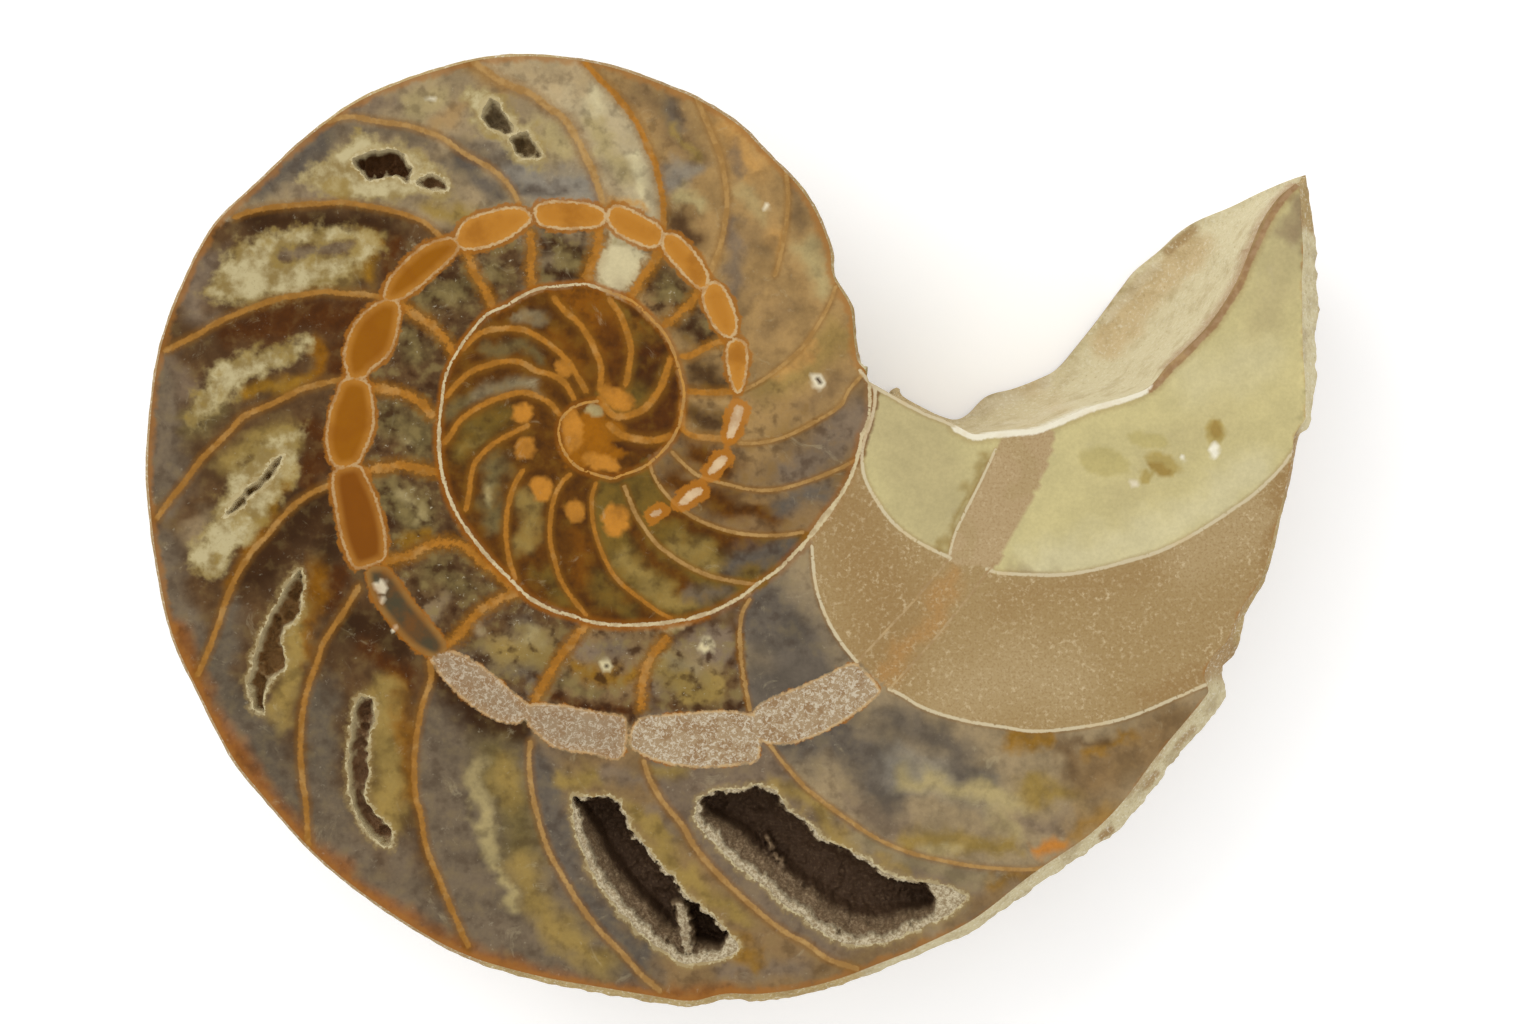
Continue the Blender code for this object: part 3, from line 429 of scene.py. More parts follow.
# What fills each chamber: the main finish, then strokes of other finishes, each with its
# line in pixels, the reach of the stroke and how strongly it covers.
FILLINGS = {
    "A": ("khaki", [
        ("dull khaki", [(885, 410), (920, 450), (940, 520)], 70, 1.0),
        ("pale khaki", [(1045, 562), (1120, 548), (1190, 515), (1255, 470)], 34, 0.8),
        ("dull khaki", [(1120, 500), (1170, 450), (1215, 420)], 30, 0.4),
        ("pale khaki", [(1200, 380), (1260, 360)], 36, 0.5),
        ("dull khaki", [(1272, 320), (1288, 235)], 34, 0.9),
        ("grey tan", [(1290, 235), (1297, 196)], 14, 0.8),
        ("olive gold", [(984, 458), (962, 512), (943, 552)], 7, 0.6),
        ("grey tan", [(1010, 572), (1050, 572)], 10, 0.5)]),
    "B": ("sediment", [
        ("dark sediment", [(850, 520), (862, 560), (890, 600), (885, 650)], 60, 0.9),
        ("stain", [(955, 575), (930, 606), (936, 618), (905, 650), (888, 682)], 15, 0.4),
        ("dark sediment", [(1000, 600), (1100, 585), (1180, 560)], 24, 0.5),
        ("light sediment", [(960, 690), (1020, 670), (1060, 680)], 50, 0.8),
        ("light sediment", [(1190, 560), (1250, 520)], 40, 0.8),
        ("dark sediment", [(1240, 640), (1210, 672), (1150, 700)], 16, 0.9),
        ("dark sediment", [(1258, 590), (1285, 480)], 12, 0.8)]),
    "C": ("grey tan", [
        ("slate", [(760, 610), (790, 640), (810, 670), (765, 690)], 60, 1.0),
        ("slate", [(770, 730), (840, 735), (870, 760), (890, 790)], 40, 1.0),
        ("blue grey", [(895, 765), (925, 775), (985, 790)], 26, 0.9),
        ("slate", [(890, 720), (960, 750), (980, 790)], 26, 0.8),
        ("mauve grey", [(850, 800), (900, 830)], 22, 0.7),
        ("pale olive", [(905, 775), (960, 790), (1020, 800)], 15, 0.8),
        ("pale olive", [(985, 800), (1020, 840)], 14, 0.6),
        ("olive gold", [(1035, 790), (1078, 796)], 18, 0.9),
        ("olive gold", [(908, 838), (972, 848), (1010, 850)], 14, 0.9),
        ("pale olive", [(930, 850), (960, 852)], 8, 0.6),
        ("orange stain", [(1038, 853), (1066, 842)], 11, 1.0),
        ("umber", [(1056, 745), (1072, 770)], 14, 0.7),
        ("brown", [(1090, 780), (1130, 760), (1180, 720)], 36, 0.9),
        ("gold", [(1008, 748), (1044, 738)], 9, 0.8),
        ("gold", [(1088, 760), (1130, 738)], 9, 0.7),
        ("umber", [(1070, 745), (1110, 745)], 9, 0.6),
        ("gold", [(1080, 830), (1120, 808)], 18, 0.6),
        ("mauve grey", [(1030, 820), (1070, 825)], 12, 0.7)]),
    "D": ("mauve grey", [
        ("olive gold", [(660, 770), (690, 775)], 14, 0.8),
        ("mauve grey", [(700, 778), (765, 762)], 18, 0.9),
        ("olive gold", [(775, 780), (800, 800), (850, 842)], 15, 0.8),
        ("olive grey", [(860, 838), (920, 862), (1000, 885)], 16, 0.8),
        ("olive gold", [(880, 860), (905, 870)], 9, 0.6),
        ("mauve grey", [(690, 840), (740, 895), (800, 930)], 26, 0.9),
        ("brown", [(850, 965), (930, 940), (1000, 900)], 20, 0.8),
        ("grey tan", [(905, 925), (960, 915)], 14, 0.6),
        ("gold", [(1000, 885), (1040, 874)], 12, 0.6),
        ("olive gold", [(655, 660), (690, 690), (725, 690)], 26, 0.9),
        ("umber", [(652, 704), (735, 706)], 12, 0.9),
        ("umber", [(742, 615), (738, 690)], 10, 0.8),
        ("umber", [(665, 640), (735, 612)], 14, 0.8),
        ("olive grey", [(663, 664), (690, 672)], 10, 0.7),
        ("cream", [(703, 647), (709, 649)], 6, 0.8)]),
    "E": ("brown", [
        ("slate", [(538, 760), (548, 820), (575, 880), (600, 920), (640, 965)], 30, 1.0),
        ("olive gold", [(562, 780), (600, 776)], 14, 0.9),
        ("mauve grey", [(610, 770), (640, 775)], 14, 0.8),
        ("olive gold", [(640, 815), (690, 880), (740, 920)], 17, 0.9),
        ("mauve grey", [(650, 800), (672, 835)], 9, 0.7),
        ("mauve grey", [(720, 970), (800, 965)], 16, 0.8),
        ("gold", [(730, 950), (760, 960)], 12, 0.7),
        ("mauve grey", [(568, 646), (625, 648)], 14, 0.9),
        ("gold", [(578, 670), (628, 674)], 13, 0.8),
        ("olive", [(560, 684), (600, 690)], 8, 0.7),
        ("red brown", [(552, 703), (632, 712)], 12, 0.9)]),
    "F": ("grey haze", [
        ("dark umber", [(436, 672), (470, 710), (515, 728)], 30, 0.95),
        ("olive", [(490, 755), (510, 800), (520, 850)], 32, 0.9),
        ("olive gold", [(505, 765), (512, 800)], 16, 0.8),
        ("pale olive", [(478, 790), (488, 842), (506, 885), (516, 908)], 9, 0.9),
        ("olive gold", [(525, 870), (550, 925), (600, 962)], 24, 0.8),
        ("pale olive", [(478, 770), (486, 800)], 12, 0.6),
        ("grey haze", [(425, 770), (432, 840), (460, 915)], 34, 0.9),
        ("umber", [(470, 640), (520, 605), (560, 630)], 20, 0.9),
        ("olive gold", [(500, 650), (545, 652)], 24, 0.8),
        ("pale olive", [(526, 636), (532, 636)], 9, 0.7),
        ("grey tan", [(474, 627), (480, 628)], 10, 0.7),
        ("umber", [(470, 668), (520, 690)], 12, 0.9)]),
    "G": ("umber", [
        ("dark umber", [(345, 612), (375, 628), (405, 650)], 30, 0.95),
        ("red brown", [(365, 650), (410, 680)], 20, 0.9),
        ("amber", [(395, 690), (402, 740), (404, 790)], 18, 0.8),
        ("olive gold", [(385, 695), (384, 760), (392, 815)], 22, 1.0),
        ("dark grey", [(318, 690), (318, 760), (330, 810)], 26, 0.95),
        ("grey haze", [(320, 820), (360, 880), (430, 930)], 46, 1.0),
        ("grey haze", [(400, 850), (415, 900)], 22, 0.8),
        ("umber", [(400, 560), (440, 590), (450, 630)], 40, 0.9),
        ("olive", [(430, 575), (470, 590)], 20, 0.7),
        ("grey tan", [(412, 622), (438, 600)], 12, 0.5)]),
    "H": ("umber", [
        ("dark umber", [(318, 500), (285, 530), (255, 570)], 34, 1.0),
        ("dark umber", [(330, 530), (325, 560)], 20, 0.8),
        ("dark grey", [(225, 615), (215, 670), (230, 720)], 26, 1.0),
        ("amber", [(318, 575), (308, 615), (300, 650)], 20, 0.95),
        ("olive gold", [(300, 610), (290, 660), (276, 715)], 17, 1.0),
        ("red brown", [(345, 570), (330, 600)], 14, 0.9),
        ("olive gold", [(272, 700), (270, 728)], 9, 0.8),
        ("dark grey", [(240, 710), (270, 770), (300, 820)], 34, 0.9),
        ("mauve grey", [(215, 700), (250, 775)], 12, 0.5),
        ("umber", [(372, 480), (430, 490), (446, 530)], 20, 0.9),
        ("olive", [(390, 500), (420, 520)], 26, 0.9),
        ("pale olive", [(404, 500), (408, 502)], 8, 0.6),
        ("pale olive", [(417, 517), (420, 519)], 7, 0.6),
        ("gold", [(395, 536), (432, 538)], 9, 0.8)]),
    "I": ("umber", [
        ("grey haze", [(165, 500), (180, 450), (195, 425)], 26, 1.0),
        ("olive gold", [(232, 462), (262, 440), (290, 436)], 18, 0.9),
        ("gold", [(285, 470), (276, 500)], 14, 0.9),
        ("red brown", [(318, 430), (312, 480)], 22, 1.0),
        ("grey haze", [(160, 545), (172, 600), (190, 640)], 26, 1.0),
        ("grey tan", [(205, 518), (190, 540)], 16, 0.6),
        ("amber", [(272, 515), (248, 550), (228, 582)], 12, 0.8),
        ("dark umber", [(300, 495), (270, 525)], 10, 0.7),
        ("olive", [(385, 415), (420, 440)], 30, 0.8),
        ("umber", [(375, 400), (372, 450), (400, 462)], 14, 0.9),
        ("pale olive", [(402, 441), (406, 443)], 8, 0.6)]),
    "J": ("umber", [
        ("red brown", [(230, 335), (290, 312), (355, 312)], 28, 1.0),
        ("amber", [(322, 345), (312, 372)], 15, 1.0),
        ("red brown", [(345, 340), (335, 370)], 12, 0.9),
        ("gold", [(250, 390), (300, 380)], 11, 0.9),
        ("grey haze", [(160, 370), (165, 420), (158, 480)], 32, 1.0),
        ("mauve grey", [(185, 370), (190, 390)], 14, 0.5),
        ("olive", [(190, 430), (225, 405)], 14, 0.7),
        ("umber", [(392, 320), (410, 350), (430, 390)], 30, 0.9),
        ("olive", [(405, 335), (420, 360)], 16, 0.7)]),
    "K": ("umber", [
        ("dark umber", [(250, 222), (290, 216), (350, 218), (395, 235)], 15, 0.9),
        ("gold", [(372, 246), (366, 282)], 15, 0.9),
        ("olive gold", [(325, 272), (350, 280)], 12, 0.7),
        ("red brown", [(396, 244), (398, 280)], 14, 1.0),
        ("mauve grey", [(205, 262), (190, 310)], 24, 0.9),
        ("grey haze", [(210, 320), (260, 300)], 10, 0.6),
        ("slit brown", [(284, 256), (312, 250), (350, 247)], 12, 1.0),
        ("umber", [(420, 290), (470, 270), (470, 320)], 34, 0.9),
        ("olive", [(435, 300), (460, 290)], 18, 0.8)]),
    "L": ("grey tan", [
        ("slate", [(255, 185), (280, 165), (320, 138)], 26, 0.9),
        ("mauve grey", [(300, 190), (350, 205)], 10, 0.6),
        ("grey haze", [(340, 132), (390, 132), (430, 145)], 14, 0.8),
        ("olive gold", [(425, 208), (465, 214)], 13, 0.9),
        ("slate", [(462, 160), (500, 192)], 18, 0.9),
        ("umber", [(455, 250), (500, 235), (515, 260), (500, 290)], 30, 1.0),
        ("olive", [(490, 262), (505, 275)], 14, 0.8)]),
    "M": ("grey tan", [
        ("pale olive", [(410, 105), (440, 92)], 18, 0.7),
        ("tan", [(440, 120), (480, 105)], 14, 0.6),
        ("mauve grey", [(350, 110), (392, 106)], 12, 0.8),
        ("blue grey", [(490, 160), (545, 185), (588, 190)], 24, 1.0),
        ("slate", [(515, 185), (570, 192)], 9, 0.8),
        ("grey haze", [(455, 142), (500, 160)], 14, 0.8),
        ("pale olive", [(545, 122), (562, 152)], 18, 0.8),
        ("tan", [(470, 70), (500, 90)], 14, 0.8),
        ("dark umber", [(545, 240), (575, 250), (585, 270), (545, 275)], 24, 0.9),
        ("olive", [(555, 255), (572, 262)], 12, 0.8)]),
    "N": ("dull cream", [
        ("cream", [(588, 90), (604, 104)], 12, 0.8),
        ("cream", [(636, 160), (642, 195)], 10, 0.9),
        ("grey tan", [(575, 115), (605, 170), (612, 195)], 10, 0.7),
        ("pale olive", [(596, 120), (622, 168)], 14, 0.8),
        ("light tan", [(510, 68), (545, 76), (580, 82)], 24, 1.0),
        ("orange tan", [(608, 200), (642, 204)], 7, 0.8),
        ("cream", [(610, 255), (628, 270)], 34, 1.0)]),
    "O": ("tan", [
        ("brown", [(640, 90), (670, 120), (690, 160)], 26, 0.9),
        ("slate", [(664, 105), (684, 130)], 14, 0.7),
        ("blue grey", [(668, 175), (690, 172)], 16, 0.8),
        ("olive gold", [(678, 128), (690, 152)], 8, 0.8),
        ("pale olive", [(680, 188), (696, 204)], 12, 0.9),
        ("umber", [(674, 220), (700, 240)], 20, 1.0),
        ("dark umber", [(655, 275), (690, 296)], 30, 0.75),
        ("olive", [(665, 285), (680, 292)], 14, 0.8)]),
    "P": ("tan", [
        ("orange tan", [(725, 128), (755, 165)], 26, 0.8),
        ("mauve grey", [(732, 225), (740, 250), (738, 290)], 14, 0.8),
        ("orange tan", [(775, 235), (800, 262), (812, 300)], 16, 0.6),
        ("mauve grey", [(735, 150), (740, 175)], 10, 0.6),
        ("pale olive", [(740, 190), (760, 208)], 12, 0.5),
        ("brown", [(752, 226), (766, 248)], 13, 0.7),
        ("dark umber", [(685, 322), (712, 332)], 24, 0.8),
        ("brown", [(750, 320), (790, 300)], 30, 0.6)]),
    "Q": ("tan", [
        ("brown", [(796, 186), (802, 218)], 10, 0.9),
        ("pale olive", [(805, 245), (828, 290)], 16, 0.8),
        ("brown", [(760, 330), (790, 310)], 16, 0.5),
        ("dark umber", [(697, 368), (724, 380)], 22, 0.8)]),
    "R": ("tan", [
        ("olive gold", [(770, 385), (820, 360), (840, 335)], 22, 0.6),
        ("orange tan", [(774, 374), (812, 352)], 9, 0.8),
        ("brown", [(800, 410), (845, 380)], 16, 0.8),
        ("dark umber", [(695, 412), (722, 424)], 20, 0.8)]),
    "S": ("brown", [
        ("mauve grey", [(790, 465), (835, 445), (855, 415)], 26, 1.0),
        ("tan", [(745, 462), (780, 452)], 12, 0.5),
        ("deep brown", [(690, 450), (720, 468)], 22, 0.9)]),
    "T": ("brown", [
        ("deep brown", [(670, 480), (720, 505), (770, 515)], 22, 0.95),
        ("slate", [(780, 500), (820, 492)], 20, 0.9),
        ("tan", [(740, 500), (760, 500)], 8, 0.5)]),
    "U": ("deep olive", [
        ("deep brown", [(660, 510), (710, 535), (770, 545)], 14, 0.9),
        ("olive gold", [(675, 545), (715, 562)], 16, 0.8),
        ("slate", [(740, 560), (785, 548)], 20, 0.9)]),
    "V": ("deep olive", [
        ("deep brown", [(625, 520), (650, 560), (690, 585)], 14, 0.9),
        ("olive gold", [(620, 560), (655, 590), (690, 600)], 14, 0.8),
        ("grey haze", [(695, 590), (730, 595)], 14, 0.8)]),
    "W": ("deep brown", [
        ("deep amber", [(575, 530), (585, 575)], 16, 0.9),
        ("deep olive", [(600, 580), (630, 610)], 16, 0.8),
        ("olive grey", [(602, 500), (606, 530)], 12, 0.6)]),
    "X": ("deep brown", [
        ("olive gold", [(530, 495), (528, 545)], 16, 0.8),
        ("deep olive", [(545, 580), (560, 600)], 14, 0.8)]),
    "Y": ("deep brown", [
        ("olive", [(495, 465), (490, 520)], 18, 0.9),
        ("pale olive", [(489, 490), (492, 497)], 9, 0.8)]),
    "Z": ("deep brown", [
        ("deep olive", [(505, 415), (475, 435), (462, 455)], 18, 0.9),
        ("olive gold", [(480, 436), (466, 450)], 7, 0.4)]),
    "AA": ("deep brown", [
        ("olive grey", [(470, 400), (510, 385), (530, 384)], 12, 0.8),
        ("olive", [(460, 405), (455, 415)], 14, 0.8)]),
    "BB": ("deep brown", [
        ("olive", [(484, 350), (520, 346), (540, 354)], 10, 0.75)]),
    "CC": ("deep brown", [
        ("olive grey", [(508, 314), (542, 318)], 10, 0.7),
        ("deep amber", [(560, 335), (585, 370)], 14, 0.6)]),
    "DD": ("deep amber", [
        ("red brown", [(605, 330), (618, 350), (612, 375)], 14, 0.7)]),
    "EE": ("deep olive", [
        ("deep amber", [(630, 305), (640, 330)], 14, 0.6),
        ("red brown", [(640, 350), (660, 350), (645, 375)], 20, 0.95)]),
    "FF": ("red brown", []),
}

# Spots laid over the fillings: finish, centre in pixels, half width, half length and tilt in degrees
SPOTS = [
    ("orange fill", (616, 520), 13, 15, 0), ("orange fill", (575, 511), 10, 11, 20),
    ("orange fill", (542, 488), 11, 13, 0), ("orange fill", (525, 448), 9, 12, 0),
    ("orange fill", (522, 413), 10, 10, 0), ("orange fill", (563, 368), 8, 11, 30),
    ("orange fill", (616, 398), 10, 20, 62), ("amber fill", (592, 440), 34, 30, 0),
    ("orange fill", (572, 430), 10, 22, 0), ("orange fill", (600, 462), 8, 20, 75),
    ("pale olive", (594, 409), 6, 9, 80), ("red brown", (632, 447), 5, 19, 78),
    ("white", (380.5, 587), 6.5, 7, 0), ("white", (381, 600.5), 3, 3, 0), ("white", (395, 628), 3, 3, 0),
    ("white", (819, 381), 7, 8, 40), ("arm gold", (1216, 432), 10, 13, 10),
    ("crystal gold", (1217, 430), 6, 9, 10), ("arm gold", (1163, 464), 11, 18, 65),
    ("crystal gold", (1160, 468), 5, 13, 65), ("arm gold", (1146, 476), 6, 7, 0),
    ("arm patch", (1105, 462), 14, 24, 75), ("arm patch", (1150, 440), 8, 22, 80),
    ("snow", (1215, 450), 5, 8, 0), ("snow", (1183, 458), 3, 3, 0), ("white", (1134, 484), 4, 4, 0),
    ("white", (766, 206), 3, 3, 0), ("white", (430, 98), 4, 3, 0), ("cream", (606, 666), 6, 7, 0),
    ("cream", (703, 648), 5, 4, 0), ("dark umber", (606, 666), 2, 3, 0),
    ("dark umber", (820, 380), 2, 4, 40), ("dark umber", (215, 393), 2, 3, 0),
]
# A slit within a pale crust, filled with brown stone
SLIT_PX = [(284, 256), (298, 252), (312, 250), (332, 249), (350, 246)]
# The lower edge of the face, which is stained orange
STAINED_EDGE_PX = [
    (170, 637), (200, 702), (260, 797), (360, 895), (460, 957), (560, 988), (640, 1002), (760, 1002),
]
# The spacing of the points along a line on the stone
LINE_STEP_PX = 4


def curve_points(points, spacing=LINE_STEP_PX, closed=False):
    """Points at an even spacing along a smooth curve through the given ones; a loop runs anticlockwise."""
    given = np.asarray(points, float)
    if closed:
        following = np.roll(given, -1, axis=0)
        if (given[:, 0] * following[:, 1] - following[:, 0] * given[:, 1]).sum() < 0:
            given = given[::-1]
        run = np.vstack([given[-1:], given, given[:2]])
    else:
        run = np.vstack([2 * given[0] - given[1], given, 2 * given[-1] - given[-2]])
    t = np.linspace(0, 1, 12, endpoint=False)[:, None]
    spans = []
    for a, b, c, d in zip(run, run[1:], run[2:], run[3:]):
        bend = 2 * b + (c - a) * t + (2 * a - 5 * b + 4 * c - d) * t**2
        spans.append(0.5 * (bend + (3 * b - a - 3 * c + d) * t**3))
    dense = np.vstack(spans + [run[-2:-1]])
    length = np.concatenate([[0], np.cumsum(np.hypot(*np.diff(dense, axis=0).T))])
    count = max(4, round(length[-1] / spacing))
    at = np.linspace(0, length[-1], count + 1)
    even = np.column_stack([np.interp(at, length, dense[:, k]) for k in (0, 1)])
    return even[:-1] if closed else even


def line_distance(points, line, reach, closed=False):
    """Distance from each point to a line, no more than the reach."""
    line = np.asarray(line, float)
    if closed:
        line = np.vstack([line, line[:1]])
    apart = np.full(len(points), float(reach))
    near = np.flatnonzero(((points > line.min(0) - reach) & (points < line.max(0) + reach)).all(1))
    some = points[near]
    best = apart[near]
    for start, end in zip(line, line[1:]):
        step = end - start
        share = np.clip(((some - start) @ step) / max(step @ step, 1e-12), 0, 1)
        best = np.minimum(best, np.hypot(*(some - start - share[:, None] * step).T))
    apart[near] = best
    return apart


def inside(points, loop):
    """True for each point that lies within a closed loop."""
    result = np.zeros(len(points), bool)
    near = np.flatnonzero(((points >= loop.min(0)) & (points <= loop.max(0))).all(1))
    x, y = points[near, 0], points[near, 1]
    odd = np.zeros(len(near), bool)
    for (x0, y0), (x1, y1) in zip(loop, np.roll(loop, -1, axis=0)):
        if y0 != y1:
            odd ^= ((y0 > y) != (y1 > y)) & (x < x0 + (y - y0) * (x1 - x0) / (y1 - y0))
    result[near] = odd
    return result


def depth_inside(points, loop, reach):
    """Distance to a closed loop, positive inside it and negative outside, no more than the reach."""
    apart = line_distance(points, loop, reach, closed=True)
    return np.where(inside(points, loop), apart, -apart)


def smooth(share):
    """A share from 0 to 1 that starts and ends gently."""
    share = np.clip(share, 0, 1)
    return share * share * (3 - 2 * share)


def cloud(points, size, seed, octaves=3):
    """Natural noise from 0 to 1 over plan points, with blobs of about the given size."""
    lattice = np.random.default_rng(seed).random((64, 64))
    total = weight = 0
    for octave in range(octaves):
        spot = points / size * 2**octave + 7.3 * octave
        cell = np.floor(spot).astype(int)
        x, y = smooth(spot - cell).T
        i, j = (cell % 64).T
        k, m = (i + 1) % 64, (j + 1) % 64
        low = lattice[i, j] * (1 - x) + lattice[k, j] * x
        high = lattice[i, m] * (1 - x) + lattice[k, m] * x
        total = total + (low * (1 - y) + high * y) * 0.5**octave
        weight += 0.5**octave
    return total / weight


def wander(points, size, seed):
    """A natural drift at each plan point, from -0.5 to 0.5 on both axes."""
    return np.column_stack([cloud(points, size, seed), cloud(points, size, seed + 1)]) - 0.5


edge_px = curve_points(OUTER_EDGE_PX, 2)
PIXEL = LENGTH / np.ptp(edge_px[:, 0])
MIDDLE_PX = (edge_px.min(0) + edge_px.max(0)) / 2


def to_stone(pixels):
    """Photo pixels to metres on the plan."""
    return (np.asarray(pixels, float) - MIDDLE_PX) * (PIXEL, -PIXEL)


def sideways(steps):
    """A step of length one to the side of each given step."""
    return np.column_stack([-steps[:, 1], steps[:, 0]]) / np.hypot(*steps.T)[:, None]


SMOOTHED_OVER = 7
OFF_BOWL_PX = 10


def face_edge():
    """The edge of the polished face in pixels: its outer part inside the rim, and the last wall's cut."""
    edge = curve_points(OUTER_EDGE_PX)
    tangent = np.gradient(edge, axis=0)
    window = np.ones(SMOOTHED_OVER) / SMOOTHED_OVER
    tangent = np.column_stack([np.convolve(tangent[:, k], window, "same") for k in (0, 1)])
    offset = (edge - COIL_CENTRE_PX) * (1, -1)
    angle = np.degrees(np.unwrap(np.arctan2(offset[:, 1], offset[:, 0])))
    width = np.interp(angle, RIM_ANGLES, RIM_WIDTHS_PX)
    outer = edge - sideways(tangent) * width[:, None]
    border = np.vstack([edge, curve_points(BOWL_RIM_PX)[::-1][1:-1]])
    clear = line_distance(outer, edge, 40) > width * 0.93
    clear &= line_distance(outer, curve_points(BOWL_RIM_PX), 40) > OFF_BOWL_PX
    outer = outer[clear & inside(outer, border)]
    outer = np.vstack([[FACE_CORNER_PX], outer[::3]])
    return curve_points(outer), curve_points(BOWL_CUT_PX)


def rows_beside(line, offsets):
    """Rows of points along a line and beside it."""
    across = sideways(np.gradient(line, axis=0))
    return np.vstack([line + across * offset for offset in offsets])


def staggered(low, high, spacing):
    """Staggered rows of points over a rectangle."""
    rows = np.arange(low[1], high[1], spacing * 0.866)
    columns = np.arange(low[0], high[0], spacing)
    x, y = np.meshgrid(columns, rows)
    x = x + spacing / 2 * (np.arange(len(rows)) % 2)[:, None]
    return np.column_stack([x.ravel(), y.ravel()])


def plan_triangles(points, loops):
    """Triangles over plan points that keep every loop's edges, facing up."""
    edges = []
    for first, count in loops:
        edges += [(first + i, first + (i + 1) % count) for i in range(count)]
    plan = [Vector((float(x), float(y))) for x, y in points[:, :2]]
    _, _, faces, source, _, _ = delaunay_2d_cdt(plan, edges, [], 1, 1e-8)
    assert all(source), "two loops cross"
    corners = np.array([[source[v][0] for v in face] for face in faces])
    a, b, c = (points[corners[:, k], :2] for k in range(3))
    turn = (b[:, 0] - a[:, 0]) * (c[:, 1] - a[:, 1]) - (b[:, 1] - a[:, 1]) * (c[:, 0] - a[:, 0])
    corners[turn < 0] = corners[turn < 0][:, ::-1]
    return corners


def add_piece(name, vertices, faces, values, colours, material, sharp=0.7):
    """A piece of the stone from points in metres, with values and colours stored at its points."""
    used = np.unique(faces)
    number = np.full(len(vertices), -1)
    number[used] = np.arange(len(used))
    mesh = bpy.data.meshes.new(name)
    mesh.from_pydata(vertices[used].tolist(), [], number[faces].tolist())
    for key, value in values.items():
        mesh.attributes.new(key, "FLOAT", "POINT").data.foreach_set("value", value[used].astype(np.float32))
    for key, value in colours.items():
        four = np.column_stack([value[used], np.ones(len(used))]).astype(np.float32)
        mesh.color_attributes.new(key, "FLOAT_COLOR", "POINT").data.foreach_set("color", four.ravel())
    mesh.materials.append(material)
    mesh.shade_smooth()
    mesh.set_sharp_from_angle(angle=sharp)
    piece = bpy.data.objects.new(name, mesh)
    bpy.context.scene.collection.objects.link(piece)
    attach(piece, "root")
    return piece


face_outer, face_cut = face_edge()
face_loop = np.vstack([face_outer, face_cut[::-1]])
HOLLOW_STEP_PX = 3
PIT_STEP_PX = 2.4
RAGGED_PX = 5
mouths = [curve_points(mouth, HOLLOW_STEP_PX, True) for mouth in (LARGE_MOUTH_PX, SMALL_MOUTH_PX)]
mouths += [curve_points(mouth, PIT_STEP_PX, True) for mouth, _ in PITS.values()]
for number, mouth in enumerate(mouths):
    mouths[number] = mouth + (wander(mouth, 9, 21) + 0.6 * wander(mouth, 4, 23)) * RAGGED_PX
wall_lines = {}
for name, parts in CHAMBER_WALLS_PX.items():
    wall_lines[name] = [curve_points(part) for part in parts if part]
chambers = list(wall_lines)
for name, line in BAND_LINES_PX.items():
    wall_lines[name] = [curve_points(line)]
shell_wall = curve_points(SHELL_WALL_PX)
first_turn_start = len(shell_wall) * 7 // 10
coil_to_arm = curve_points(COIL_TO_ARM_PX)
tube_loops = [curve_points(outline, closed=True) for _, outline in TUBE_PX]
crust_loops = [curve_points(outline, closed=True) for outline in PALE_CRUSTS_PX]


# Where rows of points run along a line, beside it on both sides
WALL_ROWS_PX = (0, -2.6, 2.6, -6, 6)
SHELL_ROWS_PX = (0, -2.2, 2.2, -5, 5)
TUBE_ROWS_PX = (0, -2.5, 2.5)
FACE_GRID_PX = 4.1
GRID_DRIFT_PX = 0.7
CLOSEST_PX = 1.6
CLEAR_OF_LOOPS_PX = 1.2


def face_points():
    """Points of the face in pixels: its loops first, then rows along every line, then a fine grid."""
    rows = [rows_beside(line, WALL_ROWS_PX) for lines in wall_lines.values() for line in lines]
    rows += [rows_beside(line, SHELL_ROWS_PX) for line in (shell_wall, coil_to_arm)]
    rows += [rows_beside(np.vstack([loop, loop[:1]]), TUBE_ROWS_PX) for loop in tube_loops]
    rows = np.vstack(rows)
    grid = staggered(face_loop.min(0), face_loop.max(0), FACE_GRID_PX)
    grid = grid + np.random.default_rng(4).uniform(-GRID_DRIFT_PX, GRID_DRIFT_PX, grid.shape)
    points = np.vstack([rows, grid])
    _, first = np.unique(np.floor(points / CLOSEST_PX), axis=0, return_index=True)
    points = points[np.sort(first)]
    keep = inside(points, face_loop) & (line_distance(points, face_loop, 10, True) > CLEAR_OF_LOOPS_PX)
    for mouth in mouths:
        keep &= ~inside(points, mouth) & (line_distance(points, mouth, 10, True) > CLEAR_OF_LOOPS_PX)
    return np.vstack([face_loop] + mouths + [points[keep]])


pixels = face_points()
loops, first = [], 0
for loop in [face_loop] + mouths:
    loops.append((first, len(loop)))
    first += len(loop)
corners = plan_triangles(pixels, loops)
middles = pixels[corners].mean(1)
for mouth in mouths:
    open_part = inside(middles, mouth)
    corners, middles = corners[~open_part], middles[~open_part]
corners = corners[:, ::-1]


def lengthened(line, start, end):
    """A line carried on straight past its two ends."""
    a = line[0] + (line[0] - line[2]) / np.hypot(*(line[0] - line[2])) * start
    b = line[-1] + (line[-1] - line[-3]) / np.hypot(*(line[-1] - line[-3])) * end
    return np.vstack([a, line, b])


# The lamp's light on the stone, beside the tent's, and the glare of its surface
LAMP_LIGHT = 0.1
GLARE = 0.008


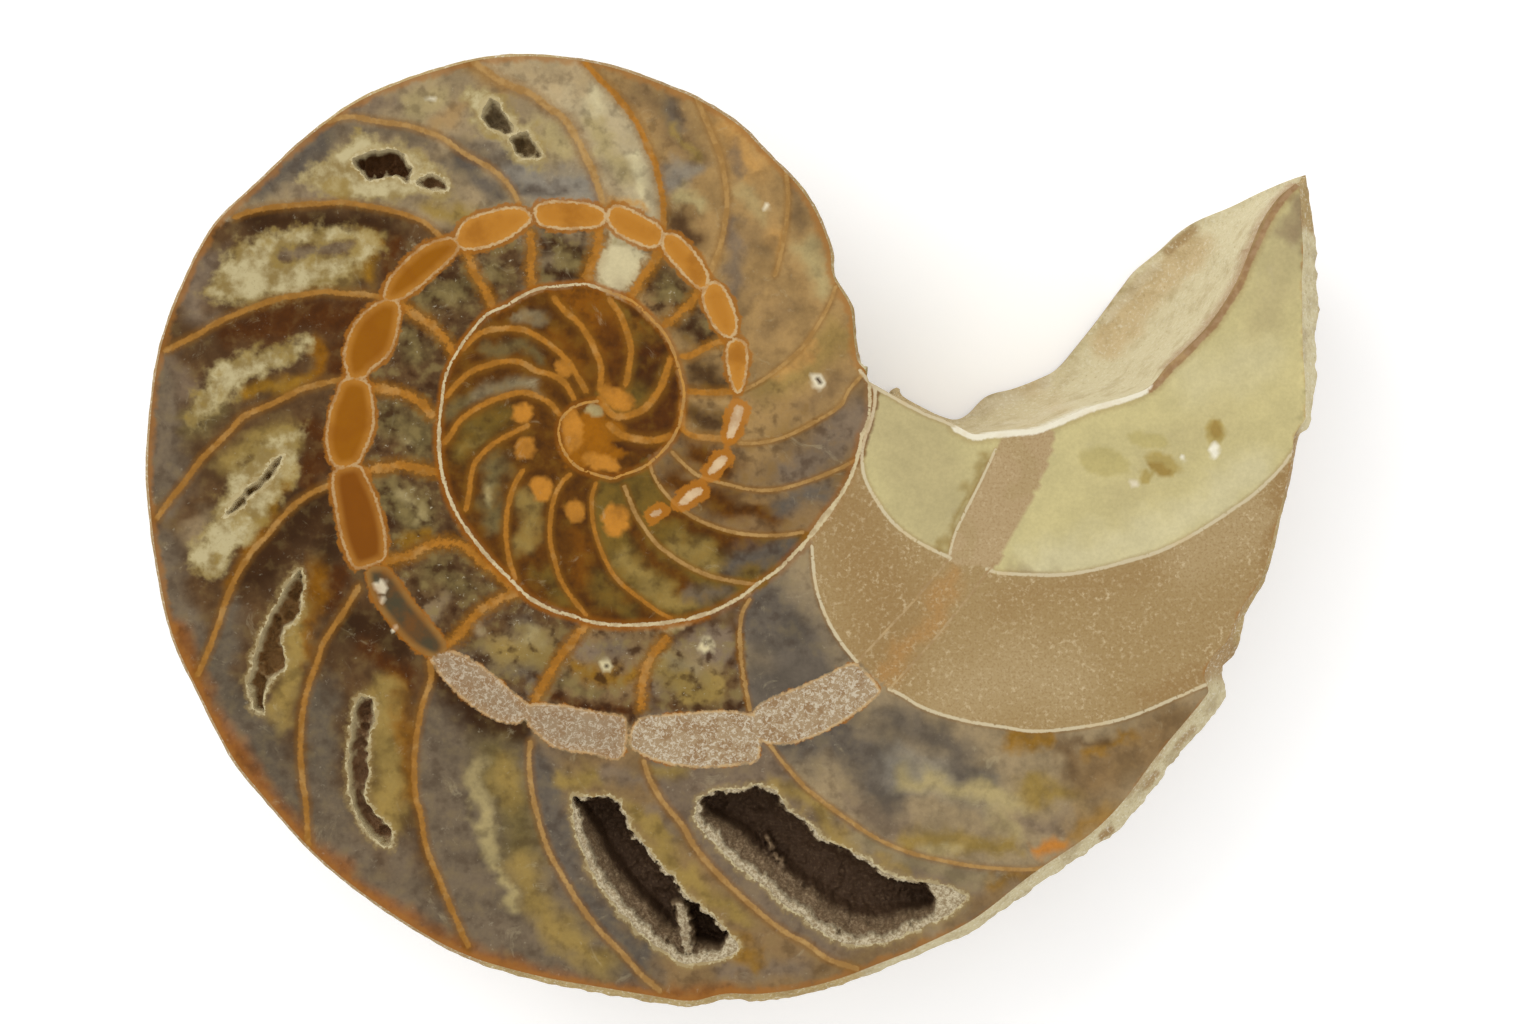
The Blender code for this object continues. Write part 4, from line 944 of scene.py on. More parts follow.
def tone(red, green, blue):
    """A colour as it looks on the finished stone, 0 to 255, as the surface's own colour."""
    share = np.array([red, green, blue]) / 255
    linear = np.where(share <= 0.04045, share / 12.92, ((share + 0.055) / 1.055) ** 2.4)
    own = np.clip((linear - GLARE) / (TENT_LIGHT + LAMP_LIGHT), 0.0006, 0.95)
    return (*[float(v) for v in own], 1.0)


def look(name):
    """The surface's own colour of a named finish."""
    return np.array(tone(*FINISHES[name])[:3])


def plain(name, points):
    """One finish at all of the points."""
    return np.tile(look(name), (len(points), 1))


def paint(under, name, strength):
    """Finish laid over the colours, by the strength at each point."""
    return under + (look(name) - under) * np.clip(strength, 0, 1)[:, None]


# How far a chamber wall is carried on to close its chamber: past the coil's wall, past the outer edge, and
# past the shell wall that ends the inner chambers
PAST_COIL_PX = 8
PAST_EDGE_PX = 45
PAST_SHELL_PX = 12


def face_colours(points):
    """The colour of the filling at each point of the face, before the lines and the fine grain."""
    bend = wander(points, 26, 5) + 0.5 * wander(points, 9, 7)
    moved = points + bend * 26
    colour = plain("light sediment", points)
    colour[inside(points, shell_wall[:first_turn_start])] = look("deep brown")
    sandy = np.zeros(len(points))
    inner_walls = chambers[chambers.index("S"):]
    for younger, older in zip(chambers, chambers[1:]):
        pair = []
        for name in (younger, older):
            line = np.vstack(wall_lines[name])
            past_end = PAST_SHELL_PX if name in inner_walls else PAST_EDGE_PX
            pair.append(lengthened(line, PAST_COIL_PX, past_end))
        chamber = inside(points, np.vstack([pair[0], pair[1][::-1]]))
        if not chamber.any():
            continue
        base, strokes = FILLINGS[older]
        moved_here = moved[chamber]
        part = paint(colour[chamber], base, np.ones(len(moved_here)))
        for finish, line, reach, strength in strokes:
            apart = line_distance(moved_here, line, reach * 1.2)
            part = paint(part, finish, strength * smooth(1 - apart / (reach * 1.2)) * 1.15)
        colour[chamber] = part
        sandy[chamber] = older == "B"
    near = line_distance(points + bend * 14, curve_points(STAINED_EDGE_PX, 8), 24)
    colour = paint(colour, "rim orange", smooth((24 - near) / 18) * 0.75 * (sandy == 0))
    band = inside(points, curve_points(ARM_BAND_PX, closed=True))
    colour[band] = paint(colour[band], "arm band", np.ones(band.sum()))
    for line in BAND_STREAKS_PX:
        near = line_distance(moved, line, 14)
        colour = paint(colour, "light sediment", smooth((14 - near) / 10) * band)
    sandy[band] = 0.8
    return colour, sandy


# How far a line is felt on the face, and how far an edge is
WALL_REACH_PX = 24
NEAR_PX = 30
# From D to R, the part of a wall between the coil and the linking tube is orange and wider on each side
WIDER_PX = 1.2
LAST_WALL_HALF_PX = 2.9


def nearest_line(points):
    """Distance to the nearest chamber wall over its half width, and that wall's colour."""
    best = np.full(len(points), 9.0)
    colour = plain("tan wall", points)
    for name, lines in wall_lines.items():
        finish, width = WALL_LOOKS[name]
        for number, line in enumerate(lines):
            finish_here, half = finish, width / 2
            if len(lines) == 2 and number == 0 and "C" < name < "S":
                finish_here, half = "orange wall", half + WIDER_PX
            if (name, number) == ("last", 1):
                finish_here, half = "mauve wall", LAST_WALL_HALF_PX
            apart = line_distance(points, line, WALL_REACH_PX) / half
            nearer = apart < best
            best[nearer] = apart[nearer]
            colour[nearer] = look(finish_here)
    return best, colour


face_tint, sandy = face_colours(pixels)
wall_share, wall_tint = nearest_line(pixels)
# The shell wall's half width in pixels: all along, in its younger half, and up to the open arm
shell_parts = [(shell_wall, 1.35), (shell_wall[: len(shell_wall) // 2], 1.7), (coil_to_arm, 1.6)]
shell_share = [line_distance(pixels, line, WALL_REACH_PX) / half for line, half in shell_parts]
shell_share = np.min(shell_share, axis=0)
to_first_turn = line_distance(pixels, shell_wall[first_turn_start:], WALL_REACH_PX)
first_turn = smooth(1 - to_first_turn / WALL_REACH_PX)
mouth_distance = np.min([line_distance(pixels, mouth, NEAR_PX, True) for mouth in mouths], axis=0)

# How mottled the stone is: most within the ring of the linking tube, little to the right of the two corners,
# above the first and below the second, and not at all in the open arm, the grey chamber and the cream one
CLEAR_ABOVE_PX = (700, 480)
CLEAR_BELOW_PX = (860, 690)
GREY_CORNER_PX = (748, 560)
CREAM_CELL_PX = (618, 266)
CREAM_RADIUS_PX = 21
cells = inside(pixels, curve_points(TUBE_RING_PX, closed=True))
clear_stone = ((pixels - CLEAR_ABOVE_PX) * (1, -1) > 0).all(1) | (pixels > CLEAR_BELOW_PX).all(1)
mottled = np.where(cells, 1.0, np.where(clear_stone, 0.12, 0.3))
inner_part = inside(pixels, shell_wall[:first_turn_start]).astype(float)
mottled = np.where(inner_part > 0, 0.5, mottled)
in_arm = inside(pixels, np.vstack([np.vstack(wall_lines["last"]), np.vstack(wall_lines["A"])[::-1]]))
grey_cell = cells & (pixels > GREY_CORNER_PX).all(1)
cream_cell = np.hypot(*(pixels - CREAM_CELL_PX).T) < CREAM_RADIUS_PX
mottled = np.where(in_arm | grey_cell | cream_cell, 0.0, mottled)
calm = np.maximum(in_arm, cream_cell) * 0.7

# The segments of the linking tube, and the spots over everything
tube_depth = np.full(len(pixels), -float(NEAR_PX))
tube_tint = plain("orange fill", pixels)
tube_sand = np.zeros(len(pixels))
tube_rim = np.zeros(len(pixels))
tube_halo = np.zeros(len(pixels))
for (finish, _), loop in zip(TUBE_PX, tube_loops):
    depth = depth_inside(pixels, loop, NEAR_PX)
    nearer = depth > tube_depth
    tube_depth[nearer] = depth[nearer]
    tube_tint[nearer] = look(finish)
    tube_rim[nearer], tube_sand[nearer], tube_halo[nearer] = TUBE_LOOKS[finish]
for finish, centre, half_width, half_length, tilt in SPOTS:
    turn = np.radians(tilt)
    offset = pixels - centre
    along = offset @ (np.sin(turn), np.cos(turn))
    across = offset @ (np.cos(turn), -np.sin(turn))
    ragged = 0.5 * (cloud(pixels, 7, 31) - 0.5)
    share = smooth((1.15 - np.hypot(across / half_width, along / half_length) - ragged) / 0.25)
    face_tint = paint(face_tint, finish, share)
    tube_tint = paint(tube_tint, finish, share)
    mottled = mottled * (1 - 0.8 * share)
crust_depth = np.max([depth_inside(pixels, loop, NEAR_PX) for loop in crust_loops], axis=0)
crust_depth = np.minimum(crust_depth, line_distance(pixels, SLIT_PX, 60) * 1.5 - 10)
# The stain along the edge fades out to the right of this place
STAIN_END_PX = 900
rim_distance = line_distance(pixels, face_outer, NEAR_PX) + 5.5 * smooth((pixels[:, 0] - STAIN_END_PX) / 100)


def stored(tree, name, output="Fac"):
    """A value that is stored at the points of the mesh, or a colour."""
    return node(tree, "Attribute", {}, attribute_name=name).outputs[output]


def plus(tree, first, second):
    """The sum of two values."""
    return node(tree, "Math", {0: first, 1: second}, operation="ADD").outputs[0]


def less(tree, first, second):
    """The first value less the second."""
    return node(tree, "Math", {0: first, 1: second}, operation="SUBTRACT").outputs[0]


def times(tree, first, second):
    """The product of two values."""
    return node(tree, "Math", {0: first, 1: second}, operation="MULTIPLY").outputs[0]


def shaken(tree, value, noise, reach):
    """A value that natural noise moves up and down, by half of the reach at most."""
    return plus(tree, value, times(tree, less(tree, noise, 0.5), reach))


def blend(tree, share, under, over, how="MIX"):
    """One colour laid over another."""
    made = node(tree, "MixRGB", {"Fac": share, "Color1": under, "Color2": over}, blend_type=how)
    return made.outputs["Color"]


def stone_surface(tree, colour, roughness, bumps, strength, height_mm, gleam=0.1):
    """Ends a finish of stone: its colour and roughness, and bumps as high as the noise."""
    inputs = {"Strength": strength, "Distance": height_mm * MM, "Height": bumps}
    relief = node(tree, "Bump", inputs).outputs["Normal"]
    cover(tree, {
        "Base Color": colour, "Roughness": roughness, "Specular IOR Level": gleam, "Normal": relief,
    })


def face_finish():
    """Polished stone: the filling's colour with its clouds and grains, and the crisp lines on it."""
    material, tree, place = new_finish("polished fossil face")
    coarse = grain(tree, place, 2.6, 5.0, 0.6)
    middle = grain(tree, place, 0.9, 3.0, 0.5)
    blots = grain(tree, place, 1.3, 3.0, 0.5)
    fine = grain(tree, place, 0.3, 3.0, 0.6)
    tiny = grain(tree, place, 0.1, 2.0, 0.5)
    sandy = stored(tree, "sandy")
    inner = stored(tree, "inner")
    stony = less(tree, 1.0, sandy)
    mottled = times(tree, stored(tree, "mottled"), stony)

    # Dark and light clouds and blots in the fillings
    dark = fade(tree, coarse, 0.35, 0.66, 0.82, 1.15)
    dark = blend(tree, stored(tree, "calm"), dark, (1, 1, 1, 1))
    dark = times(tree, dark, fade(tree, fine, 0.3, 0.7, 0.95, 1.04))
    dark = plus(tree, times(tree, dark, stony), sandy)
    colour = blend(tree, 1.0, stored(tree, "tint", "Color"), grey(tree, dark), "MULTIPLY")
    light = blend(tree, inner, tone(134, 116, 72), tone(124, 92, 34))
    colour = blend(tree, times(tree, mottled, fade(tree, blots, 0.48, 0.7, 0.0, 0.6)), colour, light)
    shade = times(tree, mottled, fade(tree, blots, 0.5, 0.3, 0.0, 0.8))
    colour = blend(tree, shade, colour, tone(60, 37, 15))

    # Pale wisps and flecks in the clear stone
    wisps = fade(tree, grain(tree, place, 3.4, 6.0, 0.72, 1.6), 0.58, 0.72, 0.0, 0.25)
    colour = blend(tree, times(tree, wisps, stony), colour, tone(186, 172, 136))
    flecks = times(tree, fade(tree, grain(tree, place, 0.42, 4.0, 0.7), 0.6, 0.7, 0.0, 0.5), stony)
    flecks = times(tree, flecks, fade(tree, middle, 0.45, 0.6))
    flecks = times(tree, flecks, less(tree, 1.0, inner))
    flecks = times(tree, flecks, plus(tree, mottled, 0.1))
    colour = blend(tree, flecks, colour, tone(196, 184, 156))

    # Pale grains and dark pores of the sediment
    specks = fade(tree, grain(tree, place, 0.4, 4.0, 0.65), 0.48, 0.67, 0.0, 0.72)
    specks = times(tree, specks, fade(tree, middle, 0.4, 0.6, 0.35, 1.0))
    specks = times(tree, specks, fade(tree, coarse, 0.4, 0.64, 0.4, 1.0))
    sand = blend(tree, specks, colour, tone(208, 188, 150))
    pores = fade(tree, grain(tree, place, 0.22, 2.0, 0.5), 0.36, 0.5, 0.35, 0.0)
    sand = blend(tree, pores, sand, tone(140, 108, 68))
    colour = blend(tree, sandy, colour, sand)

    # The stain along the edge, the pale crusts, and the pale ring round each mouth
    rim = shaken(tree, stored(tree, "rim"), middle, 12.0)
    colour = blend(tree, fade(tree, rim, 1.5, 8.0, 0.6, 0.0), colour, tone(158, 104, 48))
    crust = shaken(tree, shaken(tree, stored(tree, "crust"), blots, 34.0), fine, 8.0)
    clumps = grain(tree, place, 1.9, 5.0, 0.55)
    pale = blend(tree, fade(tree, clumps, 0.34, 0.6), tone(142, 120, 72), tone(194, 180, 136))
    pale = blend(tree, fade(tree, fine, 0.42, 0.3, 0.0, 0.25), pale, tone(130, 110, 70))
    pale = blend(tree, fade(tree, crust, 10.0, 0.0, 0.0, 0.6), pale, tone(144, 122, 66))
    pale = blend(tree, fade(tree, coarse, 0.52, 0.64, 0.0, 0.55), pale, tone(150, 124, 58))
    colour = blend(tree, fade(tree, crust, -7.0, 6.0, 0.0, 0.88), colour, pale)
    mouth = shaken(tree, shaken(tree, stored(tree, "mouth"), middle, 14.0), fine, 10.0)
    colour = blend(tree, fade(tree, mouth, 8.0, 1.0, 0.0, 0.5), colour, tone(160, 136, 86))
    ring = times(tree, fade(tree, mouth, 2.8, 1.2, 0.0, 0.85), fade(tree, middle, 0.4, 0.56, 0.3, 1.0))
    colour = blend(tree, ring, colour, tone(202, 188, 148))

    # The chamber walls and the brown halo beside each
    rugged = times(tree, times(tree, mottled, 0.5), less(tree, 1.0, times(tree, inner, 0.8)))
    rough = shaken(tree, shaken(tree, 0.0, fine, 3.2), middle, 2.4)
    wall = plus(tree, stored(tree, "wall"), times(tree, rough, plus(tree, 0.3, rugged)))
    halo = times(tree, fade(tree, wall, 1.0, 3.4, 0.62, 0.0), stony)
    halo = times(tree, halo, plus(tree, 0.45, times(tree, mottled, 0.75)))
    colour = blend(tree, halo, colour, tone(128, 84, 28))
    wall_colour = stored(tree, "wall_tint", "Color")
    redness = node(tree, "SeparateColor", {"Color": wall_colour}).outputs["Red"]
    worn = times(tree, fade(tree, middle, 0.6, 0.4, 0.0, 0.4), fade(tree, redness, 0.38, 0.48, 1.0, 0.1))
    wall_colour = blend(tree, worn, wall_colour, tone(122, 82, 34))
    wall_colour = blend(tree, fade(tree, coarse, 0.5, 0.66, 0.0, 0.25), wall_colour, tone(204, 170, 112))
    colour = blend(tree, fade(tree, wall, 1.4, 0.6, 0.0, 0.92), colour, wall_colour)

    # The linking tube: the halo round it, its clear or sandy filling, and its pale outline
    tube = stored(tree, "tube")
    tube_tint = stored(tree, "tube_tint", "Color")
    tube_halo = stored(tree, "tube_halo")
    ragged = shaken(tree, tube, fine, 5.0)
    around = plus(tree, shaken(tree, ragged, middle, 12.0), times(tree, tube_halo, 4.0))
    halo_colour = blend(tree, fade(tree, tube_halo, 1.1, 1.6), tone(156, 98, 34), tone(180, 114, 38))
    colour = blend(tree, fade(tree, around, -3.0, 0.0, 0.0, 0.8), colour, halo_colour)
    filling = blend(tree, fade(tree, tube, 1.0, 9.0, 0.45, 0.0), tube_tint, tone(196, 138, 62))
    filling = blend(tree, fade(tree, coarse, 0.4, 0.7, 0.0, 0.45), filling, tone(134, 78, 10))
    grit = grain(tree, place, 0.3, 4.0, 0.7, 0.8)
    sand = blend(tree, fade(tree, middle, 0.54, 0.4, 0.0, 0.6), tube_tint, tone(136, 102, 66))
    sand = blend(tree, fade(tree, grit, 0.48, 0.6, 0.0, 0.75), sand, tone(208, 197, 174))
    filling = blend(tree, stored(tree, "tube_sand"), filling, sand)
    colour = blend(tree, fade(tree, ragged, -1.2, 0.8), colour, filling)
    outline = times(tree, fade(tree, ragged, -2.8, -1.4), fade(tree, ragged, 1.2, -0.2))
    shown = times(tree, stored(tree, "tube_rim"), fade(tree, middle, 0.4, 0.55, 0.5, 1.0))
    colour = blend(tree, times(tree, outline, shown), colour, tone(206, 180, 134))

    # The white shell wall of the coil, with an orange halo
    shell = shaken(tree, shaken(tree, stored(tree, "shell"), fine, 1.6), middle, 1.6)
    halo = times(tree, fade(tree, shell, 1.6, 5.2, 0.75, 0.0), plus(tree, 0.15, times(tree, mottled, 0.85)))
    colour = blend(tree, halo, colour, tone(150, 88, 20))
    pearl = blend(tree, stored(tree, "first_turn"), tone(206, 190, 150), tone(188, 138, 68))
    pearl = blend(tree, fade(tree, middle, 0.55, 0.4, 0.0, 0.45), pearl, tone(150, 120, 82))
    colour = blend(tree, fade(tree, shell, 1.35, 0.7, 0.0, 0.92), colour, pearl)

    stone_surface(tree, colour, fade(tree, middle, 0.3, 0.7, 0.14, 0.24), tiny, 0.05, 0.1)
    return material


plan = to_stone(pixels)
face_vertices = np.column_stack([plan, np.full(len(plan), FACE_HEIGHT)])
face_values = {
    "wall": wall_share, "shell": shell_share, "first_turn": first_turn, "crust": crust_depth,
    "rim": rim_distance, "mouth": mouth_distance, "sandy": sandy, "inner": inner_part, "mottled": mottled,
    "calm": calm, "tube": tube_depth, "tube_sand": tube_sand, "tube_rim": tube_rim, "tube_halo": tube_halo,
}
face_tints = {"tint": face_tint, "wall_tint": wall_tint, "tube_tint": tube_tint}
polished_face = add_piece("polished_face", face_vertices, corners, face_values, face_tints,
                          face_finish())
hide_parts("fossil_half")

# The linings of the small pits.
# Natural cavities that the saw opened: thin walls of pale sugary calcite, brown and dark towards the bottom,
# partly the stone's own colour and partly painted shade.

# The brown of each pit's floor, partly the stone's own colour and partly painted shade in the pit
PIT_FLOORS = {
    "top left pit": (84, 58, 38), "pit beside it": (104, 78, 52), "upper top pit": (128, 110, 82),
    "lower top pit": (118, 98, 68), "left crack": (124, 96, 56), "lower left hollow": (142, 108, 68),
    "lower hollow": (140, 108, 78),
}


PIT_GRID_PX = 2.0


def pit_sheet(mouth, depth, seed):
    """Points and triangles of a rough bowl under a pit's mouth, with each point's share of the depth."""
    grid = staggered(mouth.min(0), mouth.max(0), PIT_GRID_PX)
    grid = grid[depth_inside(grid, mouth, 60) > 0.9]
    points = np.vstack([mouth, grid])
    apart = line_distance(points, mouth, 60, True)
    share = 1 - np.exp(-apart / 3.4)
    rough = (cloud(points, 7, seed) - 0.5) * 0.7 + (cloud(points, 3, seed + 1) - 0.5) * 0.4
    share = np.clip(share + rough * np.minimum(apart / 3, 1), 0, 1.1)
    faces = plan_triangles(points, [(0, len(mouth))])[:, ::-1]
    vertices = np.column_stack([to_stone(points), FACE_HEIGHT - share * depth])
    return vertices, faces, share


def pit_finish():
    """Sugary calcite: pale at the mouth, turning further down to the floor's brown, which is partly the
    stone's own and partly painted shade.
    """
    material, tree, place = new_finish("pit walls")
    sugar = grain(tree, place, 0.25, 4.0, 0.65)
    patches = grain(tree, place, 0.9, 3.0, 0.6)
    level = shaken(tree, stored(tree, "deep"), patches, 0.6)
    pale = blend(tree, sugar, tone(170, 150, 108), tone(222, 208, 168))
    # Partly painted shade: the colour darkens towards the floor's brown with depth
    colour = blend(tree, fade(tree, level, 0.3, 0.8), pale, stored(tree, "floor", "Color"))
    stone_surface(tree, colour, fade(tree, sugar, 0.3, 0.7, 0.5, 0.75), sugar, 0.6, 0.2)
    return material


# An edge that turns by more than this angle, in radians, is shown sharp, so here none is
ALL_SMOOTH = 3.2
sheets, floors = [], []
for number, (name, (_, depth)) in enumerate(PITS.items()):
    sheets.append(pit_sheet(mouths[2 + number], depth * MM, 40 + number))
    floors.append(np.tile(tone(*PIT_FLOORS[name])[:3], (len(sheets[-1][0]), 1)))
starts = np.cumsum([0] + [len(sheet[0]) for sheet in sheets[:-1]])
pit_faces = np.vstack([sheet[1] + start for sheet, start in zip(sheets, starts)])
add_piece("small_pits", np.vstack([sheet[0] for sheet in sheets]), pit_faces,
          {"deep": np.concatenate([sheet[2] for sheet in sheets])}, {"floor": np.vstack(floors)},
          pit_finish(), ALL_SMOOTH)

# The back, the rim and the last chamber wall.
# Rough shell and rock that the saw left alone: the coiled flank with its growth ribs and small navel, the
# broken rim round the polished face, and the sandy bowl of the last chamber wall.

WIDTH_RATIO = 0.46
SHOULDER = 0.28
EDGE_BAND = 1.2 * MM
BOWL_WALL = 1.2 * MM
RIM_SLOPE = 1.5
NAVEL_RADIUS = 4.8 * MM
NAVEL_DEPTH = 7.0 * MM
STEP_WIDTH = 2.0 * MM
PAST_TIP_ANGLE = 30
COIL_REACH = 1.25
COIL_CENTRE = to_stone(COIL_CENTRE_PX)

coarse_edge = curve_points(to_stone(OUTER_EDGE_PX), 2.4 * MM)
offset = coarse_edge - COIL_CENTRE
EDGE_RADIUS = np.hypot(*offset.T)
EDGE_ANGLE = np.degrees(np.unwrap(np.arctan2(offset[:, 1], offset[:, 0])))
by_angle = np.argsort(EDGE_ANGLE)


def whorl_depth(radius, angle):
    """Depth of the flank under the face, at a radius and an angle counted along the coil."""
    edge_radius = np.interp(angle, EDGE_ANGLE[by_angle], EDGE_RADIUS[by_angle])
    fall = np.clip((radius / edge_radius - SHOULDER) / (1 - SHOULDER), 0, 1)
    return WIDTH_RATIO * edge_radius * np.sqrt(1 - fall**2)


def back_depth(plan, last_turn_only=False):
    """Depth of the back under the face: the last turn, the turn inside it, the navel and the worn flat."""
    offset = plan - COIL_CENTRE
    radius = np.hypot(*offset.T)
    angle = np.degrees(np.arctan2(offset[:, 1], offset[:, 0])) % 360
    last = whorl_depth(radius, np.where(angle < 90, angle + 360, angle))
    first = whorl_depth(radius, angle)
    past_step = radius * np.sin(np.radians(angle - EDGE_ANGLE[0])) / STEP_WIDTH
    within_coil = (radius < COIL_REACH * EDGE_RADIUS[0]) | (angle > PAST_TIP_ANGLE)
    on_first = (angle > EDGE_ANGLE[0]) & (angle < 90) & within_coil
    share = np.where(on_first & (not last_turn_only), smooth(past_step), 0)
    whole = last * (1 - share) + first * share
    whole = NAVEL_DEPTH + (whole - NAVEL_DEPTH) * smooth(radius / NAVEL_RADIUS)
    return np.clip(whole, EDGE_BAND, FACE_HEIGHT)


def nearest_of(points, line):
    """The number of the line's point that is nearest to each point."""
    return np.hypot(*(points[:, None] - line[None]).transpose(2, 0, 1)).argmin(1)


# The broken outline of the whole stone, and the rim of the bowl that closes it
outline = curve_points(OUTER_EDGE_PX)
to_face = line_distance(outline, face_outer, 60)
chips = (cloud(outline, 18, 61) - 0.5) * 1.4 + (cloud(outline, 7, 62) - 0.5)
ends = np.minimum(np.arange(len(outline)), np.arange(len(outline))[::-1]) / 4
chips = chips * np.minimum(to_face * 0.4, 5.5) * np.minimum(ends, 1)
outline = outline + sideways(np.gradient(outline, axis=0)) * chips[:, None]
bowl_rim = curve_points(BOWL_RIM_PX)[1:-1]
border = np.vstack([outline, bowl_rim[::-1]])

# How high the outline and the bowl's rim stand, with a smooth passage at both ends of the bowl
START_PASSAGE = 1.6 * MM
TIP_PASSAGE = 3.0 * MM
rim_bottom = FACE_HEIGHT - back_depth(to_stone(bowl_rim), True)
bowl_rim_top = rim_bottom + BOWL_WALL
outline_top = FACE_HEIGHT - line_distance(outline, face_loop, 60, True) * PIXEL * RIM_SLOPE
from_start = np.arange(1, len(bowl_rim) + 1) * LINE_STEP_PX * PIXEL
from_tip = from_start[::-1]
bowl_rim_top += (outline_top[0] - bowl_rim_top) * smooth(1 - from_start / START_PASSAGE)
bowl_rim_top += (outline_top[-1] - bowl_rim_top) * smooth(1 - from_tip / TIP_PASSAGE)
border_top = np.concatenate([outline_top, bowl_rim_top[::-1]])

# The ring of raw stone round the face: part of it slopes down as the rim, the rest sinks into the bowl
RING_GRID_PX = 3.0
CLEAR_OF_RING_PX = 1.3
CORNER_REACH_PX = 7
grid = staggered(border.min(0), border.max(0), RING_GRID_PX)
grid = grid[inside(grid, border) & ~inside(grid, face_loop)]
for loop in (border, face_loop):
    grid = grid[line_distance(grid, loop, 10, True) > CLEAR_OF_RING_PX]
ring = np.vstack([border, face_loop, grid])
ring_faces = plan_triangles(ring, [(0, len(border)), (len(border), len(face_loop))])[:, ::-1]
ring_faces = ring_faces[~inside(ring[ring_faces].mean(1), face_loop)]
to_outer = line_distance(ring, face_outer, 200)
to_outline = line_distance(ring, outline, 200)
to_cut = line_distance(ring, face_cut, 200)
to_rim = line_distance(ring, bowl_rim, 200)
in_bowl = np.minimum(to_cut, to_rim) < np.minimum(to_outer, to_outline)
in_bowl |= np.hypot(*(ring - FACE_CORNER_PX).T) < CORNER_REACH_PX
share = np.clip(to_cut / np.maximum(to_cut + to_rim, 1e-6), 0, 1)
drop = (FACE_HEIGHT - bowl_rim_top[nearest_of(ring, bowl_rim)]) * np.sqrt(1 - (1 - share) ** 2)
bowl_height = np.maximum(FACE_HEIGHT - drop, FACE_HEIGHT - back_depth(to_stone(ring), True) + BOWL_WALL)
rough = ((cloud(ring, 14, 63) - 0.5) * 0.5 + (cloud(ring, 5, 64) - 0.5) * 0.3) * MM
rough = rough * np.minimum(np.minimum(to_cut, to_outer) / 8, 1)
rim_height = FACE_HEIGHT - to_outer * PIXEL * RIM_SLOPE
height = np.where(in_bowl, np.minimum(bowl_height, FACE_HEIGHT) + rough, rim_height + rough * 0.6)
height[: len(border)] = border_top
height[len(border): len(border) + len(face_loop)] = FACE_HEIGHT
ring_vertices = np.column_stack([to_stone(ring), height])
bowl_faces = in_bowl[ring_faces].all(1)

# Strokes over the bowl and over the rim: finish, line in pixels, reach and how strongly it covers
BOWL_STROKES = [
    ("white", [(950, 405), (982, 400), (1030, 385), (1060, 372)], 16, 0.8),
    ("bowl sand", [(1130, 330), (1170, 280), (1215, 235)], 26, 0.9),
    ("bowl line", [(1168, 368), (1183, 352), (1211, 323), (1237, 283), (1255, 240), (1280, 197),
                   (1297, 182)], 5, 0.9),
    ("tan", [(1192, 234), (1216, 214)], 8, 0.7),
    ("snow", [(975, 434), (1000, 430), (1040, 424), (1085, 404)], 10, 0.9),
    ("snow", [(1045, 365), (1090, 320), (1130, 270), (1180, 215)], 11, 0.75),
    ("tan", [(888, 386), (912, 388)], 9, 0.7),
    ("white", [(1130, 305), (1180, 250)], 8, 0.5),
]
RIM_STROKES = [
    # Partly the rim's own pale stone and partly painted light: the glow of the light table through the thin
    # lower right rim
    ("rim pale", [(880, 972), (960, 938), (1040, 887), (1100, 849), (1160, 790), (1222, 700)], 30, 1.0),
    ("rim sand", [(500, 970), (640, 1003), (760, 1002), (850, 984)], 22, 0.9),
    ("strip", [(1312, 240), (1314, 330), (1312, 420)], 20, 1.0),
    ("rim sand", [(1310, 180), (1312, 215)], 16, 0.6),
    ("rim sand", [(1240, 640), (1268, 575), (1285, 500)], 10, 0.7),
    ("rim sand", [(320, 120), (400, 80), (480, 56), (560, 55)], 10, 0.7),
    ("rim sand", [(800, 185), (836, 275), (858, 340)], 10, 0.6),
    # Painted light: a pale patch lightens the steep rim beside the notch, which lies in shade
    ("rim pale", [(864, 364), (870, 372)], 9, 1.0),
    ("tan", [(1105, 838), (1112, 832)], 7, 0.9), ("tan", [(1150, 786), (1158, 776)], 7, 0.8),
    ("tan", [(1180, 748), (1196, 730)], 6, 0.7),
]
FINISHES.update({
    "bowl cream": (217, 205, 166), "bowl sand": (207, 184, 140), "bowl line": (178, 146, 112),
    "rim brown": (174, 145, 102), "rim sand": (186, 162, 110), "rim pale": (208, 194, 154),
    "strip": (216, 203, 162), "shell": (176, 152, 112),
})


def stroked(points, base, strokes, seed):
    """A base finish with strokes of others over it."""
    bend = wander(points, 14, seed)
    colour = plain(base, points)
    for finish, line, reach, strength in strokes:
        apart = line_distance(points + bend * min(12, reach * 0.6), line, reach)
        colour = paint(colour, finish, strength * smooth((1 - apart / reach) * 1.6))
    return colour


def rock_finish(name, roughness, pale, dark, size_mm):
    """Rough broken rock or shell: its stored colour with pale grains, dark pores and a grainy relief."""
    material, tree, place = new_finish(name)
    colour = stored(tree, "tint", "Color")
    grains = grain(tree, place, size_mm, 4.0, 0.65)
    patches = grain(tree, place, size_mm * 7, 4.0, 0.6)
    colour = blend(tree, fade(tree, grains, 0.52, 0.68, 0.0, 0.55), colour, pale)
    colour = blend(tree, fade(tree, grains, 0.42, 0.28, 0.0, 0.55), colour, dark)
    colour = blend(tree, fade(tree, patches, 0.45, 0.7, 0.0, 0.35), colour, dark)
    rough = fade(tree, patches, 0.3, 0.7, roughness, roughness + 0.15)
    stone_surface(tree, colour, rough, grains, 0.7, 0.25)
    return material


